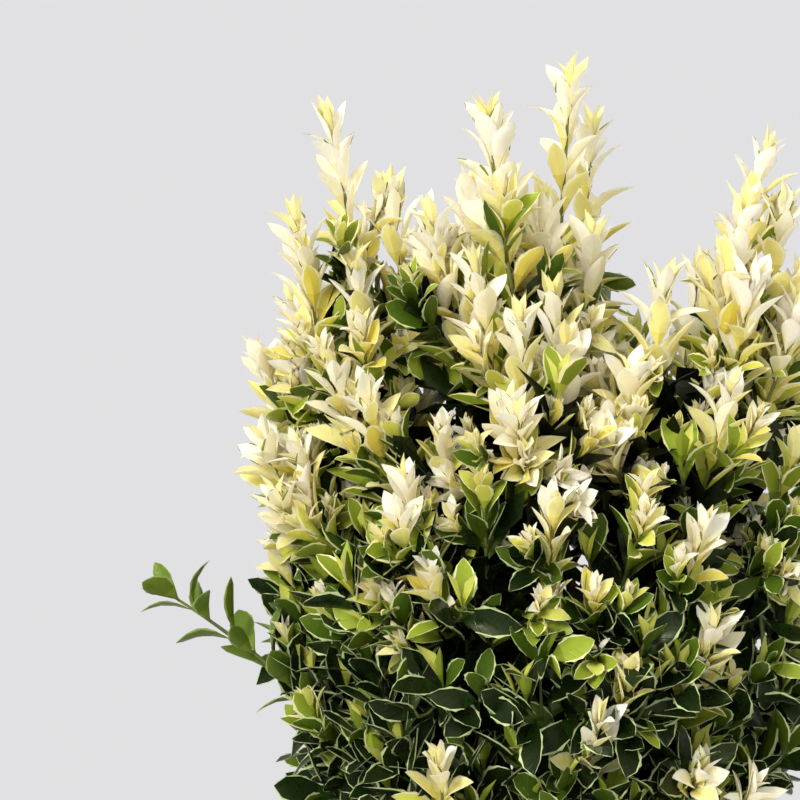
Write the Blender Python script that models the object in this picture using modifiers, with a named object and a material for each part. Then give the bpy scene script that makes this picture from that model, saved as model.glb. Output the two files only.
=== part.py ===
"""A small evergreen shrub of upright leafy spires, grown as one plant in a plain tapered pot.

Lengths are in metres. The origin is the centre of the pot's flat underside, X runs to the
right, Y runs away from the front and Z runs up. One short trunk stands on the compost. It
carries boughs, and each bough ends where it enters its own mass of twigs and leaves.
"""

import math
import random

import bmesh
import bpy
import numpy as np
from mathutils import Matrix, Vector

# Sizes that drive the pot
POT_HEIGHT = 0.175
POT_RIM_RADIUS = 0.098
POT_FOOT_RADIUS = 0.070
POT_WALL = 0.007
POT_FLOOR = 0.010
RIM_BAND_HEIGHT = 0.034
RIM_BAND_STEP = 0.005
EDGE_EASE = 0.002
DRAIN_HOLE_RADIUS = 0.006
DRAIN_HOLE_CIRCLE = 0.040
DRAIN_HOLE_COUNT = 4
DRAIN_HOLE_SIDES = 8
TURNED_STEPS = 28
TURNED_WELD = 0.00005

# Sizes that drive the compost and the clearance between neighbours
SOIL_BELOW_RIM = 0.016
SOIL_EDGE_DIP = 0.004
SOIL_FLAT_SHARE = 0.72
GAP = 0.0003

# Sizes that drive the trunk
TRUNK_HEIGHT = 0.066
TRUNK_FLARE_RADIUS = 0.0145
TRUNK_RADIUS = 0.0095
TRUNK_TIP_RADIUS = 0.0070
TRUNK_LEAN = -0.004
FLARE_HEIGHT = 0.012
TRUNK_STEPS = 7
TRUNK_ROUNDNESS = 4

# Sizes that drive the boughs and twigs
MAIN_BOUGH_RADIUS = 0.0036
SIDE_BOUGH_RADIUS = 0.0027
BOUGH_TIP_SHARE = 0.66
COLLAR = 0.004
COLLAR_RISE = 0.9
STEM_TIP_RADIUS = 0.0011
TWIG_RADIUS = 0.0017
BOUGH_STEPS = 5
STEM_STEPS = 4
TWIG_STEPS = 2
CAP_WELD = 0.00002
SITE_SPACING = 0.010
SLIVER = 0.000001

# How limbs and shoots bend: the pull of the heading at each end, as shares of the span, the
# steps of a limb's line, how far tips lean out, and the sprig's own heading
LEAVES_SHARE = 0.33
ARRIVES_SHARE = 0.42
LINE_STEPS = 40
SIDE_BEND_SHARE = 0.40
SIDE_SLANT = 0.7
LEAN_OUT = 2.4
SPRIG_HEADING = Vector((-0.85, -0.10, 0.55)).normalized()
STEM_CLEAR = 1.2 * GAP

# How much the side shoots of a mass differ: degrees round the stem, shares of their fan and
# drop, and where on the stem they leave it
TURN_SPREAD = 16.0
FAN_SPREAD = (0.85, 1.15)
DROP_SPREAD = (0.45, 1.35)
ROOT_SHARES = (0.08, 0.34)

# Sizes that drive the leaves, which are larger and fewer than on the plant
LEAF_LENGTHS = (0.024, 0.030, 0.034, 0.036)
LEAF_TILTS = (26.0, 38.0, 50.0, 60.0)
LEAF_WIDTH = 0.46
LEAF_THICKNESS = 0.055
LEAF_WIDEST = 0.56
LEAF_CUP = 0.050
LEAF_CURL = 0.060
LEAF_SWELL_SHIFT = 0.06
LEAF_ROOT = 0.0008
LEAF_TURN_SPREAD = 0.2
LEAF_TILT_SPREAD = 6.0
LEAF_SIZE_SPREAD = (0.92, 1.08)
LEAFY_SHARE = 0.92
FIRST_PAIR = 0.010
PAIR_SPACING = 0.018
LEAF_CLEAR = 0.0008
LEAF_TRIES = (1.0, 0.86, 0.72)

# The dark middle of a dense mass
CORE_STEM_SHARE = 0.24
CORE_RADIUS = 0.025
CORE_HEIGHT = 1.50
CORE_ROUGHNESS = 0.18
CORE_CLEAR = 0.0040
CORE_LIMB_CLEAR = 0.0095
CORE_STEP = 0.002

# The crown's radius at some heights, from the rim of the pot up
CROWN_HEIGHTS = (0.175, 0.240, 0.300, 0.380, 0.500, 0.620)
CROWN_RADII = (0.098, 0.116, 0.128, 0.136, 0.132, 0.110)

# Each tier's habit: side shoots, how far they stand off, how far below the leader they end,
# how many degrees of the circle round the stem they fan over, how far along its line a bough
# enters its mass, and the pairs of leaves on the leader and on each side shoot
TIERS = {
    "top": {"shoots": 3, "fan": 0.036, "drop": 0.075, "span": 330.0, "enters": 0.50, "pairs": (4, 3)},
    "mid": {"shoots": 2, "fan": 0.038, "drop": 0.070, "span": 250.0, "enters": 0.42, "pairs": (3, 3)},
    "low": {"shoots": 2, "fan": 0.042, "drop": 0.060, "span": 230.0, "enters": 0.34, "pairs": (3, 3)},
    "sprig": {"shoots": 1, "fan": 0.016, "drop": 0.022, "span": 200.0, "enters": 0.55, "pairs": (4, 3)},
}

# One row for each mass: its tier, the leader's tip, the limb that carries its bough, and
# how far along that limb the bough leaves it
MASSES = {
    "tall_spire": ("top", (0.013, 0.030, 0.610), "trunk", 1.00),
    "centre_spire": ("top", (-0.030, -0.022, 0.592), "trunk", 0.90),
    "left_spire": ("top", (-0.110, -0.012, 0.590), "trunk", 0.66),
    "right_spire": ("top", (0.113, 0.004, 0.576), "trunk", 0.80),
    "back_left_spire": ("top", (-0.066, 0.074, 0.522), "trunk", 0.80),
    "back_right_spire": ("top", (0.084, 0.070, 0.512), "trunk", 0.62),
    "right_inner_spire": ("top", (0.058, -0.046, 0.512), "trunk", 0.62),
    "left_shoulder": ("mid", (-0.146, -0.008, 0.472), "left_spire", 0.55),
    "left_front": ("mid", (-0.092, -0.074, 0.462), "left_spire", 0.34),
    "centre_front": ("mid", (-0.014, -0.076, 0.500), "centre_spire", 0.60),
    "middle_front": ("mid", (-0.034, -0.112, 0.424), "centre_spire", 0.32),
    "right_front": ("mid", (0.046, -0.104, 0.420), "right_inner_spire", 0.55),
    "right_side": ("mid", (0.128, -0.040, 0.436), "right_spire", 0.60),
    "back_right": ("mid", (0.100, 0.086, 0.430), "back_right_spire", 0.40),
    "back_centre": ("mid", (0.004, 0.122, 0.465), "back_left_spire", 0.62),
    "back_left": ("mid", (-0.106, 0.078, 0.440), "back_left_spire", 0.36),
    "low_left_front": ("low", (-0.092, -0.080, 0.340), "trunk", 0.46),
    "low_front": ("low", (-0.046, -0.112, 0.292), "trunk", 0.30),
    "low_right_front": ("low", (0.030, -0.116, 0.318), "trunk", 0.46),
    "right_corner": ("low", (0.092, -0.082, 0.326), "trunk", 0.34),
    "low_right": ("low", (0.122, 0.016, 0.322), "trunk", 0.44),
    "low_back_right": ("low", (0.066, 0.104, 0.310), "trunk", 0.34),
    "low_back_left": ("low", (-0.046, 0.114, 0.324), "trunk", 0.46),
    "low_left": ("low", (-0.118, 0.024, 0.330), "trunk", 0.36),
    "left_sprig": ("sprig", (-0.186, -0.030, 0.346), "low_left", 0.55),
}

CLAY = (0.62, 0.31, 0.19)
COMPOST = (0.045, 0.030, 0.020)
BARK = (0.23, 0.17, 0.11)
GREEN_LEAF = (0.13, 0.22, 0.06)
LIME_LEAF = (0.42, 0.46, 0.14)
CREAM_LEAF = (0.86, 0.80, 0.52)
TIER_COLOURS = {"top": CREAM_LEAF, "mid": LIME_LEAF, "low": GREEN_LEAF, "sprig": GREEN_LEAF}

SOIL_TOP = POT_HEIGHT - SOIL_BELOW_RIM
UP = Vector((0.0, 0.0, 1.0))


def clear_scene():
    for item in list(bpy.data.objects):
        bpy.data.objects.remove(item, do_unlink=True)


def new_collection(name):
    collection = bpy.data.collections.new(name)
    bpy.context.scene.collection.children.link(collection)
    return collection


def material(name, colour, roughness):
    made = bpy.data.materials.new(name)
    made.use_nodes = True
    shader = made.node_tree.nodes["Principled BSDF"]
    shader.inputs["Base Color"].default_value = (*colour, 1.0)
    shader.inputs["Roughness"].default_value = roughness
    shader.inputs["Metallic"].default_value = 0.0
    return made


def add_object(name, data, collection, finish=None):
    item = bpy.data.objects.new(name, data)
    collection.objects.link(item)
    if finish:
        item.data.materials.append(finish)
    return item


def evaluated_mesh(item):
    """The object's mesh with its modifiers done, in the object's own axes."""
    bpy.context.view_layer.update()
    graph = bpy.context.evaluated_depsgraph_get()
    return bpy.data.meshes.new_from_object(item.evaluated_get(graph), depsgraph=graph)


def turned(name, profile, collection, finish):
    """Turns an outline of (radius, height) points once round Z."""
    mesh = bpy.data.meshes.new(name)
    shape = bmesh.new()
    corners = [shape.verts.new((radius, 0.0, height)) for radius, height in profile]
    for first, second in zip(corners, corners[1:]):
        shape.edges.new((first, second))
    shape.to_mesh(mesh)
    shape.free()
    item = add_object(name, mesh, collection, finish)
    screw = item.modifiers.new("Turn", "SCREW")
    screw.axis = "Z"
    screw.steps = TURNED_STEPS
    screw.render_steps = TURNED_STEPS
    screw.use_merge_vertices = True
    screw.merge_threshold = TURNED_WELD
    return item


def outer_radius(height):
    """The pot's tapering outside, below its rim band."""
    band_foot = POT_HEIGHT - RIM_BAND_HEIGHT
    share = height / band_foot
    return POT_FOOT_RADIUS + share * (POT_RIM_RADIUS - RIM_BAND_STEP - POT_FOOT_RADIUS)


def inner_radius(height):
    """The pot's inside wall, which runs straight from the floor to the rim."""
    foot = POT_FOOT_RADIUS - POT_WALL
    share = (height - POT_FLOOR) / (POT_HEIGHT - POT_FLOOR)
    return foot + share * (POT_RIM_RADIUS - POT_WALL - foot)


def build_pot(collection, cutters):
    band_foot = POT_HEIGHT - RIM_BAND_HEIGHT
    profile = [
        (0.0, POT_FLOOR),
        (inner_radius(POT_FLOOR) - EDGE_EASE, POT_FLOOR),
        (inner_radius(POT_FLOOR + EDGE_EASE), POT_FLOOR + EDGE_EASE),
        (inner_radius(POT_HEIGHT - EDGE_EASE), POT_HEIGHT - EDGE_EASE),
        (inner_radius(POT_HEIGHT) + EDGE_EASE, POT_HEIGHT),
        (POT_RIM_RADIUS - EDGE_EASE, POT_HEIGHT),
        (POT_RIM_RADIUS, POT_HEIGHT - EDGE_EASE),
        (POT_RIM_RADIUS - EDGE_EASE / 2, band_foot + EDGE_EASE),
        (POT_RIM_RADIUS - EDGE_EASE, band_foot),
        (outer_radius(band_foot), band_foot - EDGE_EASE / 2),
        (outer_radius(EDGE_EASE), EDGE_EASE),
        (POT_FOOT_RADIUS - EDGE_EASE, 0.0),
        (0.0, 0.0),
    ]
    pot = turned("pot", profile, collection, material("fired_clay", CLAY, 0.85))
    for index in range(DRAIN_HOLE_COUNT):
        turn = math.tau * (index + 0.5) / DRAIN_HOLE_COUNT
        mesh = bpy.data.meshes.new("drain_hole")
        shape = bmesh.new()
        bmesh.ops.create_cone(
            shape,
            cap_ends=True,
            segments=DRAIN_HOLE_SIDES,
            radius1=DRAIN_HOLE_RADIUS,
            radius2=DRAIN_HOLE_RADIUS,
            depth=POT_FLOOR * 4,
        )
        shape.to_mesh(mesh)
        shape.free()
        drill = add_object(f"drain_hole_{index}", mesh, cutters)
        drill.location = (
            DRAIN_HOLE_CIRCLE * math.cos(turn),
            DRAIN_HOLE_CIRCLE * math.sin(turn),
            0.0,
        )
        drill.hide_render = True
        drill.display_type = "WIRE"
        cut = pot.modifiers.new("Drain hole", "BOOLEAN")
        cut.operation = "DIFFERENCE"
        cut.object = drill
    return pot


def build_soil(collection):
    top_radius = inner_radius(SOIL_TOP - SOIL_EDGE_DIP) - GAP
    foot = POT_FLOOR + GAP
    profile = [
        (0.0, SOIL_TOP),
        (top_radius * SOIL_FLAT_SHARE, SOIL_TOP),
        (top_radius, SOIL_TOP - SOIL_EDGE_DIP),
        (inner_radius(foot + EDGE_EASE) - GAP, foot + EDGE_EASE),
        (inner_radius(foot) - EDGE_EASE - GAP, foot),
        (0.0, foot),
    ]
    return turned("compost", profile, collection, material("compost", COMPOST, 1.0))


def bend(start, leaves, arrives, end, steps):
    """Points along one smooth bend from start to end, which sets off along the first
    vector and arrives along the second."""
    near = start + leaves
    far = end - arrives
    points = []
    for index in range(steps + 1):
        t = index / steps
        s = 1.0 - t
        points.append(
            start * s**3 + near * (3 * s * s * t) + far * (3 * s * t * t) + end * t**3
        )
    return points


def point_at(points, share):
    """The place and heading at a share of the way along a run of points."""
    place = share * (len(points) - 1)
    index = min(int(place), len(points) - 2)
    step = points[index + 1] - points[index]
    return points[index] + step * (place - index), step.normalized()


def part_of(points, first, last, steps):
    """The stretch of a run of points between two shares, in even steps."""
    shares = [first + (last - first) * index / steps for index in range(steps + 1)]
    return [point_at(points, share)[0] for share in shares]


def length_of(points):
    return sum((b - a).length for a, b in zip(points, points[1:]))


def tapering(first, last, count):
    return [first + (last - first) * index / (count - 1) for index in range(count)]


def tube(name, points, radii, collection, finish, roundness=1, sides=None):
    """A tapering tube along the points, round, or with the cross section of a guide."""
    curve = bpy.data.curves.new(name, "CURVE")
    curve.dimensions = "3D"
    curve.use_fill_caps = True
    if sides:
        curve.bevel_mode = "OBJECT"
        curve.bevel_object = sides
    else:
        curve.bevel_depth = 1.0
        curve.bevel_resolution = roundness
    spline = curve.splines.new("POLY")
    spline.points.add(len(points) - 1)
    for node, place, radius in zip(spline.points, points, radii):
        node.co = (*place, 1.0)
        node.radius = radius
    return add_object(name, curve, collection, finish)


def three_sided_guide(collection):
    """A triangle of unit radius, the cross section of every twig."""
    curve = bpy.data.curves.new("twig_section", "CURVE")
    curve.dimensions = "2D"
    spline = curve.splines.new("POLY")
    spline.points.add(2)
    for index, node in enumerate(spline.points):
        turn = math.tau * index / 3
        node.co = (math.cos(turn), math.sin(turn), 0.0, 1.0)
    spline.use_cyclic_u = True
    guide = add_object("twig_section", curve, collection)
    guide.hide_render = True
    guide.display_type = "WIRE"
    return guide


def trunk_run():
    """The trunk's centre line and radii, from its flat cut on the compost to its tip."""
    foot = SOIL_TOP + GAP
    points = []
    radii = []
    for index in range(TRUNK_STEPS + 1):
        share = index / TRUNK_STEPS
        height = TRUNK_HEIGHT * share
        points.append(Vector((TRUNK_LEAN * share * share, 0.0, foot + height)))
        flare = math.exp(-height / FLARE_HEIGHT)
        straight = TRUNK_RADIUS + (TRUNK_TIP_RADIUS - TRUNK_RADIUS) * share
        radii.append(straight + (TRUNK_FLARE_RADIUS - TRUNK_RADIUS) * flare)
    return points, radii


def crown_radius(height):
    return float(np.interp(height, CROWN_HEIGHTS, CROWN_RADII))


def keep_in_crown(tip):
    """Draws a tip in towards the middle until it is inside the crown's outline."""
    reach = math.hypot(tip.x, tip.y)
    limit = crown_radius(tip.z)
    if reach <= limit:
        return tip
    return Vector((tip.x * limit / reach, tip.y * limit / reach, tip.z))


def lean_of(tip):
    """The heading of a shoot's tip: upright, and leaning out more towards the crown's side."""
    outward = Vector((tip.x, tip.y, 0.0)) * LEAN_OUT
    return (UP + outward).normalized()


def limb_line(tip, carrier, carrier_radius, share, heading):
    """The whole line of a bough and the leader that it grows into: a short square collar
    on the middle of one straight of its carrier, then one bend up to the tip."""
    straights = len(carrier) - 1
    if share < 1.0:
        share = (int(share * straights) + 0.5) / straights
    place, along = point_at(carrier, share)
    if share >= 1.0:
        start = place + along * GAP
        leaves = along
        rising = along
    else:
        toward = tip - place
        leaves = (toward - along * toward.dot(along)).normalized()
        start = place + leaves * (carrier_radius + GAP)
        rising = (leaves + along * COLLAR_RISE).normalized()
    collar = start + leaves * COLLAR
    span = (tip - collar).length
    leaves = rising * span * LEAVES_SHARE
    arrives = heading * span * ARRIVES_SHARE
    return start, bend(collar, leaves, arrives, tip, LINE_STEPS)


def side_shoot(stem, share, end):
    """A shoot that leaves the stem at a slant and turns up to its own tip."""
    root, along = point_at(stem, share)
    aside = end - root
    aside = (aside - along * aside.dot(along)).normalized()
    span = (end - root).length
    leaves = (along * SIDE_SLANT + aside * SIDE_SLANT) * span * SIDE_BEND_SHARE
    return bend(root, leaves, lean_of(end) * span * SIDE_BEND_SHARE, end, TWIG_STEPS)


def grow_plant():
    """Works out every bough, stem and side shoot before anything is modelled."""
    trunk, trunk_radii = trunk_run()
    limbs = {"trunk": (trunk, trunk_radii)}
    masses = {}
    for name, (tier, tip, carrier, share) in MASSES.items():
        habit = TIERS[tier]
        luck = random.Random(name)
        tip = Vector(tip)
        heading = SPRIG_HEADING if tier == "sprig" else lean_of(tip)
        points, radii = limbs[carrier]
        radius = float(np.interp(share, np.linspace(0.0, 1.0, len(radii)), radii))
        start, line = limb_line(tip, points, radius, share, heading)
        thick = MAIN_BOUGH_RADIUS if tier == "top" else SIDE_BOUGH_RADIUS
        bough = [start] + part_of(line, 0.0, habit["enters"], BOUGH_STEPS - 1)
        limbs[name] = (bough, tapering(thick, thick * BOUGH_TIP_SHARE, BOUGH_STEPS + 1))
        stem = part_of(line, habit["enters"] + STEM_CLEAR / length_of(line), 1.0, STEM_STEPS)
        leader_pairs, side_pairs = habit["pairs"]
        shoots = [{"line": stem, "pairs": leader_pairs, "thick": thick * BOUGH_TIP_SHARE}]
        outward = math.atan2(tip.y, tip.x)
        for index in range(habit["shoots"]):
            place = (index + 0.5) / habit["shoots"] - 0.5
            spread = luck.uniform(-TURN_SPREAD, TURN_SPREAD)
            turn = outward + math.radians(habit["span"] * place + spread)
            offset = habit["fan"] * luck.uniform(*FAN_SPREAD)
            drop = habit["drop"] * luck.uniform(*DROP_SPREAD)
            end = tip + Vector((offset * math.cos(turn), offset * math.sin(turn), -drop))
            side = side_shoot(stem, luck.uniform(*ROOT_SHARES), keep_in_crown(end))
            shoots.append({"line": side, "pairs": side_pairs, "thick": TWIG_RADIUS})
        masses[name] = {"tier": tier, "shoots": shoots, "stem": stem}
    return limbs, masses


def sites_of(mass):
    """Points along all the shoots of one mass, which mark the space that it owns."""
    found = []
    for shoot in mass["shoots"]:
        line = shoot["line"]
        count = max(2, round(length_of(line) / SITE_SPACING))
        found += [point_at(line, index / count)[0] for index in range(count + 1)]
    return np.array(found)


def nearest(points, sites):
    """Each point's distance to the nearest site."""
    apart = np.asarray(points)[:, None, :] - sites[None, :, :]
    return np.sqrt((apart**2).sum(axis=2)).min(axis=1)


def limb_room(points, limbs):
    """The least clear distance from any of the points to a limb's surface."""
    room = 1.0
    points = np.asarray(points)
    for line, radii in limbs.values():
        first = np.array(line[:-1])
        step = np.array(line[1:]) - first
        thick = np.maximum(radii[:-1], radii[1:])
        along = ((points[:, None, :] - first) * step).sum(axis=2) / (step**2).sum(axis=1)
        along = np.clip(along, 0.0, 1.0)
        near = first + along[:, :, None] * step
        apart = np.sqrt(((points[:, None, :] - near) ** 2).sum(axis=2)) - thick
        room = min(room, float(apart.min()))
    return room


def over_pot(points):
    """True when all the points are clear of the pot and the compost."""
    for x, y, z in points:
        if z < POT_HEIGHT + LEAF_CLEAR and math.hypot(x, y) < POT_RIM_RADIUS + LEAF_CLEAR:
            return False
    return True


def leaf_mesh():
    """A leaf of unit length along X: six corners of a flattened, cupped octahedron."""
    mesh = bpy.data.meshes.new("leaf")
    shape = bmesh.new()
    bmesh.ops.create_uvsphere(shape, u_segments=4, v_segments=2, radius=1.0)
    for corner in shape.verts:
        x, y, z = corner.co
        if x > 0.5:
            corner.co = (1.0, 0.0, -LEAF_CURL)
        elif x < -0.5:
            corner.co = (0.0, 0.0, 0.0)
        elif abs(y) > 0.5:
            corner.co = (LEAF_WIDEST, math.copysign(LEAF_WIDTH / 2, y), LEAF_CUP)
        else:
            swell = math.copysign(LEAF_THICKNESS / 2, z)
            corner.co = (LEAF_WIDEST - LEAF_SWELL_SHIFT, 0.0, swell)
    bmesh.ops.recalc_face_normals(shape, faces=shape.faces)
    shape.to_mesh(mesh)
    shape.free()
    return mesh


def leaf_frame(place, along, turn, tilt, length):
    """Sets a leaf on a twig: X along the leaf and Z out of its upper face."""
    across = along.cross(Vector((1.0, 0.0, 0.0))).normalized()
    other = along.cross(across)
    outward = across * math.cos(turn) + other * math.sin(turn)
    forward = along * math.cos(tilt) + outward * math.sin(tilt)
    upper = along * math.sin(tilt) - outward * math.cos(tilt)
    side = upper.cross(forward)
    frame = Matrix((forward, side, upper)).transposed().to_4x4()
    frame = frame @ Matrix.Diagonal((length, length, length, 1.0))
    frame.translation = place - forward * LEAF_ROOT
    return frame


def leaf_points(frame):
    """The leaf's corners and the middles of its long edges."""
    half = LEAF_WIDTH / 2
    marks = (
        (0.0, 0.0, 0.0),
        (1.0, 0.0, -LEAF_CURL),
        (LEAF_WIDEST, half, LEAF_CUP),
        (LEAF_WIDEST, -half, LEAF_CUP),
        (LEAF_WIDEST, 0.0, 0.0),
        (LEAF_WIDEST / 2, half / 2, LEAF_CUP / 2),
        (LEAF_WIDEST / 2, -half / 2, LEAF_CUP / 2),
        ((1.0 + LEAF_WIDEST) / 2, half / 2, 0.0),
        ((1.0 + LEAF_WIDEST) / 2, -half / 2, 0.0),
    )
    return [frame @ Vector(mark) for mark in marks]


def owns(points, own, others, clear):
    return bool((nearest(points, own) + clear < nearest(points, others)).all())


def leaf_frames(name, mass, own, others, limbs):
    """Pairs of leaves down each shoot, each pair a quarter turn from the one above."""
    frames = []
    for number, shoot in enumerate(mass["shoots"]):
        luck = random.Random(f"{name} shoot {number}")
        first_turn = luck.uniform(0.0, math.pi)
        line = shoot["line"]
        length = length_of(line)
        for pair in range(shoot["pairs"]):
            down = FIRST_PAIR + PAIR_SPACING * pair
            if down > length * LEAFY_SHARE:
                break
            place, along = point_at(line, 1.0 - down / length)
            for half_turn in (0.0, math.pi):
                turn = first_turn + pair * math.pi / 2 + half_turn
                turn += luck.uniform(-LEAF_TURN_SPREAD, LEAF_TURN_SPREAD)
                spread = luck.uniform(-LEAF_TILT_SPREAD, LEAF_TILT_SPREAD)
                tilt = math.radians(LEAF_TILTS[pair] + spread)
                size = LEAF_LENGTHS[pair] * luck.uniform(*LEAF_SIZE_SPREAD)
                for share in LEAF_TRIES:
                    frame = leaf_frame(place, along, turn, tilt, size * share)
                    marks = leaf_points(frame)
                    if not owns(marks, own, others, LEAF_CLEAR):
                        continue
                    if limb_room(marks[1:], limbs) < LEAF_CLEAR or not over_pot(marks):
                        continue
                    frames.append(frame)
                    break
    return frames


def core_mesh(mass, own, others, limbs):
    """The close middle of a mass, drawn in wherever it would leave the mass's space."""
    luck = random.Random(len(own))
    middle, along = point_at(mass["stem"], CORE_STEM_SHARE)
    mesh = bpy.data.meshes.new("core")
    shape = bmesh.new()
    bmesh.ops.create_icosphere(shape, subdivisions=2, radius=1.0)
    turn = UP.rotation_difference(along)
    for corner in shape.verts:
        ray = corner.co.copy()
        ray.z *= CORE_HEIGHT
        rough = 1.0 + CORE_ROUGHNESS * luck.uniform(-1.0, 1.0)
        ray = turn @ (ray * CORE_RADIUS * rough)
        reach = ray.length
        ray.normalize()
        far = CORE_STEP
        while far < reach:
            mark = [middle + ray * far]
            if not owns(mark, own, others, CORE_CLEAR) or not over_pot(mark):
                break
            if limb_room(mark, limbs) < CORE_LIMB_CLEAR:
                break
            far += CORE_STEP
        corner.co = middle + ray * far
    shape.to_mesh(mesh)
    shape.free()
    return mesh


def twig_mesh(name, shoot, guide, collection):
    """One shoot's woody line as a closed mesh of three sides."""
    line = shoot["line"]
    radii = tapering(shoot["thick"], STEM_TIP_RADIUS, len(line))
    item = tube(name, line, radii, collection, None, sides=guide)
    mesh = evaluated_mesh(item)
    bpy.data.objects.remove(item)
    shape = bmesh.new()
    shape.from_mesh(mesh)
    bmesh.ops.remove_doubles(shape, verts=shape.verts, dist=CAP_WELD)
    bmesh.ops.recalc_face_normals(shape, faces=shape.faces)
    shape.to_mesh(mesh)
    shape.free()
    return mesh


def keep_one_body(mesh, weld):
    """Drops loose scraps and fills sealed hollows: only the largest shell stays. Says
    whether every edge of it then lies between two faces."""
    shape = bmesh.new()
    shape.from_mesh(mesh)
    bmesh.ops.triangulate(shape, faces=shape.faces)
    if weld:
        bmesh.ops.remove_doubles(shape, verts=shape.verts, dist=weld)
    left = set(shape.faces)
    shells = []
    while left:
        shell = [left.pop()]
        for face in shell:
            for edge in face.edges:
                for other in edge.link_faces:
                    if other in left:
                        left.discard(other)
                        shell.append(other)
        shells.append(shell)
    shells.sort(key=len, reverse=True)
    for shell in shells[1:]:
        bmesh.ops.delete(shape, geom=shell, context="FACES")
    closed = all(len(edge.link_faces) == 2 for edge in shape.edges)
    shape.to_mesh(mesh)
    shape.free()
    return closed


def fuse(stem, pieces):
    """One solid of the stem and all the pieces, or nothing where none comes out closed."""
    union = stem.modifiers.new("Fuse", "BOOLEAN")
    union.operation = "UNION"
    union.operand_type = "COLLECTION"
    union.collection = pieces
    union.solver = "MANIFOLD"
    fused = evaluated_mesh(stem)
    stem.modifiers.clear()
    for weld in (0.0, SLIVER):
        tried = fused.copy()
        if keep_one_body(tried, weld):
            return tried
    return None


def build_mass(name, mass, space, limbs, leaf, guide, collection, pieces):
    """Fuses one mass: its stem, side shoots, core and leaves become one solid. Where they
    don't come out closed, the lowest leaf is left off and they are fused again."""
    own, others = space
    shoots = mass["shoots"]
    stem = add_object(name, twig_mesh("stem", shoots[0], guide, pieces), collection)
    for shoot in shoots[1:]:
        add_object("shoot", twig_mesh("shoot", shoot, guide, pieces), pieces)
    if mass["tier"] != "sprig":
        add_object("core", core_mesh(mass, own, others, limbs), pieces)
    blades = []
    for frame in leaf_frames(name, mass, own, others, limbs):
        blade = add_object("leaf", leaf, pieces)
        blade.matrix_world = frame
        blades.append(blade)
    fused = fuse(stem, pieces)
    while fused is None:
        bpy.data.objects.remove(blades.pop(), do_unlink=True)
        fused = fuse(stem, pieces)
    count = len(blades)
    for piece in list(pieces.objects):
        bpy.data.objects.remove(piece, do_unlink=True)
    stem.data = fused
    fused.materials.clear()
    fused.materials.append(material(f"leaves_{name}", TIER_COLOURS[mass["tier"]], 0.5))
    return stem, count


def main():
    clear_scene()
    shrub = new_collection("potted_spindle_shrub")
    guides = new_collection("guides")
    pieces = new_collection("pieces_to_fuse")
    build_pot(shrub, guides)
    build_soil(shrub)
    limbs, masses = grow_plant()
    bark = material("bark", BARK, 0.9)
    for name, (line, radii) in limbs.items():
        if name == "trunk":
            tube(name, line, radii, shrub, bark, roundness=TRUNK_ROUNDNESS)
        else:
            tube(f"bough_{name}", line, radii, shrub, bark)
    sites = {name: sites_of(mass) for name, mass in masses.items()}
    guide = three_sided_guide(guides)
    leaf = leaf_mesh()
    total = 0
    for name, mass in masses.items():
        others = np.concatenate([found for other, found in sites.items() if other != name])
        space = (sites[name], others)
        item, count = build_mass(
            f"mass_{name}", mass, space, limbs, leaf, guide, shrub, pieces
        )
        total += count
        print(item.name, len(item.data.polygons), "faces,", count, "leaves")
    print("leaves in all:", total)


main()
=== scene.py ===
# %% [markdown]
# # A variegated spindle shrub in its pot
#
# This lesson dresses a small evergreen shrub: upright spires of cream leaves over a dark green
# crown, in a plain clay pot. The solids of the plant are already there, as the frame. They give
# the true size and place of the pot, the compost, the trunk, the boughs and the masses of leaves.
# We keep the frame's measures and grow the fine plant round them: bark, twigs and leaves.
#
# All lengths are in metres. X runs to the right, Y away from the front and Z up.

# %% Load the frame
import math
import random
from collections import namedtuple

import bmesh
import bpy
import numpy as np
from mathutils import Matrix, Vector, noise


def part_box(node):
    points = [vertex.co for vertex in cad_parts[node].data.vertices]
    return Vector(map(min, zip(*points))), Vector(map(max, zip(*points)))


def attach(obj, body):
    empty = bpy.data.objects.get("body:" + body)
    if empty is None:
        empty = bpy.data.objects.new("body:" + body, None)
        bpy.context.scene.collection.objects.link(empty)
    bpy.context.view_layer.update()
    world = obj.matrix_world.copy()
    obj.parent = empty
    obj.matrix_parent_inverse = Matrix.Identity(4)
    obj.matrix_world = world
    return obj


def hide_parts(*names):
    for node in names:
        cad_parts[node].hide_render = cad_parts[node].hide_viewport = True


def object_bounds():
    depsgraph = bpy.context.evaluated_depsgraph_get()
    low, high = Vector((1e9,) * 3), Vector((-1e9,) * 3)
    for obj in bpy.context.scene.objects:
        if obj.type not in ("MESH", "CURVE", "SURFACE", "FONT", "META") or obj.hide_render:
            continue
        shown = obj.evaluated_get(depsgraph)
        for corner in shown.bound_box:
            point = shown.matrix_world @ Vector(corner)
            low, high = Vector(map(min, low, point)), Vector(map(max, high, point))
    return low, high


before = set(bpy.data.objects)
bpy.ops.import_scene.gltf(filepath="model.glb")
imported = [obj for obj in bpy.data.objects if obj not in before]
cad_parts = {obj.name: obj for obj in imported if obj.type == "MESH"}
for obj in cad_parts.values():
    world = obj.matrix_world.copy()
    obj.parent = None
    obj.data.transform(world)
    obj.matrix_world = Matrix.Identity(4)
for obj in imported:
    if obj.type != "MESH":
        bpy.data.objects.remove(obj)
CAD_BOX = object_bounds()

print("frame:", len(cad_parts), "nodes, from", list(CAD_BOX[0]), "to", list(CAD_BOX[1]))

# %% [markdown]
# ## What we read from the frame
#
# The pot, the trunk and the surface of the compost are measured on their solids, so the fine shapes
# land exactly where the plain ones are. The masses of leaves are listed by name, because the
# leaves that we grow will stand for all of them.

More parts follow.
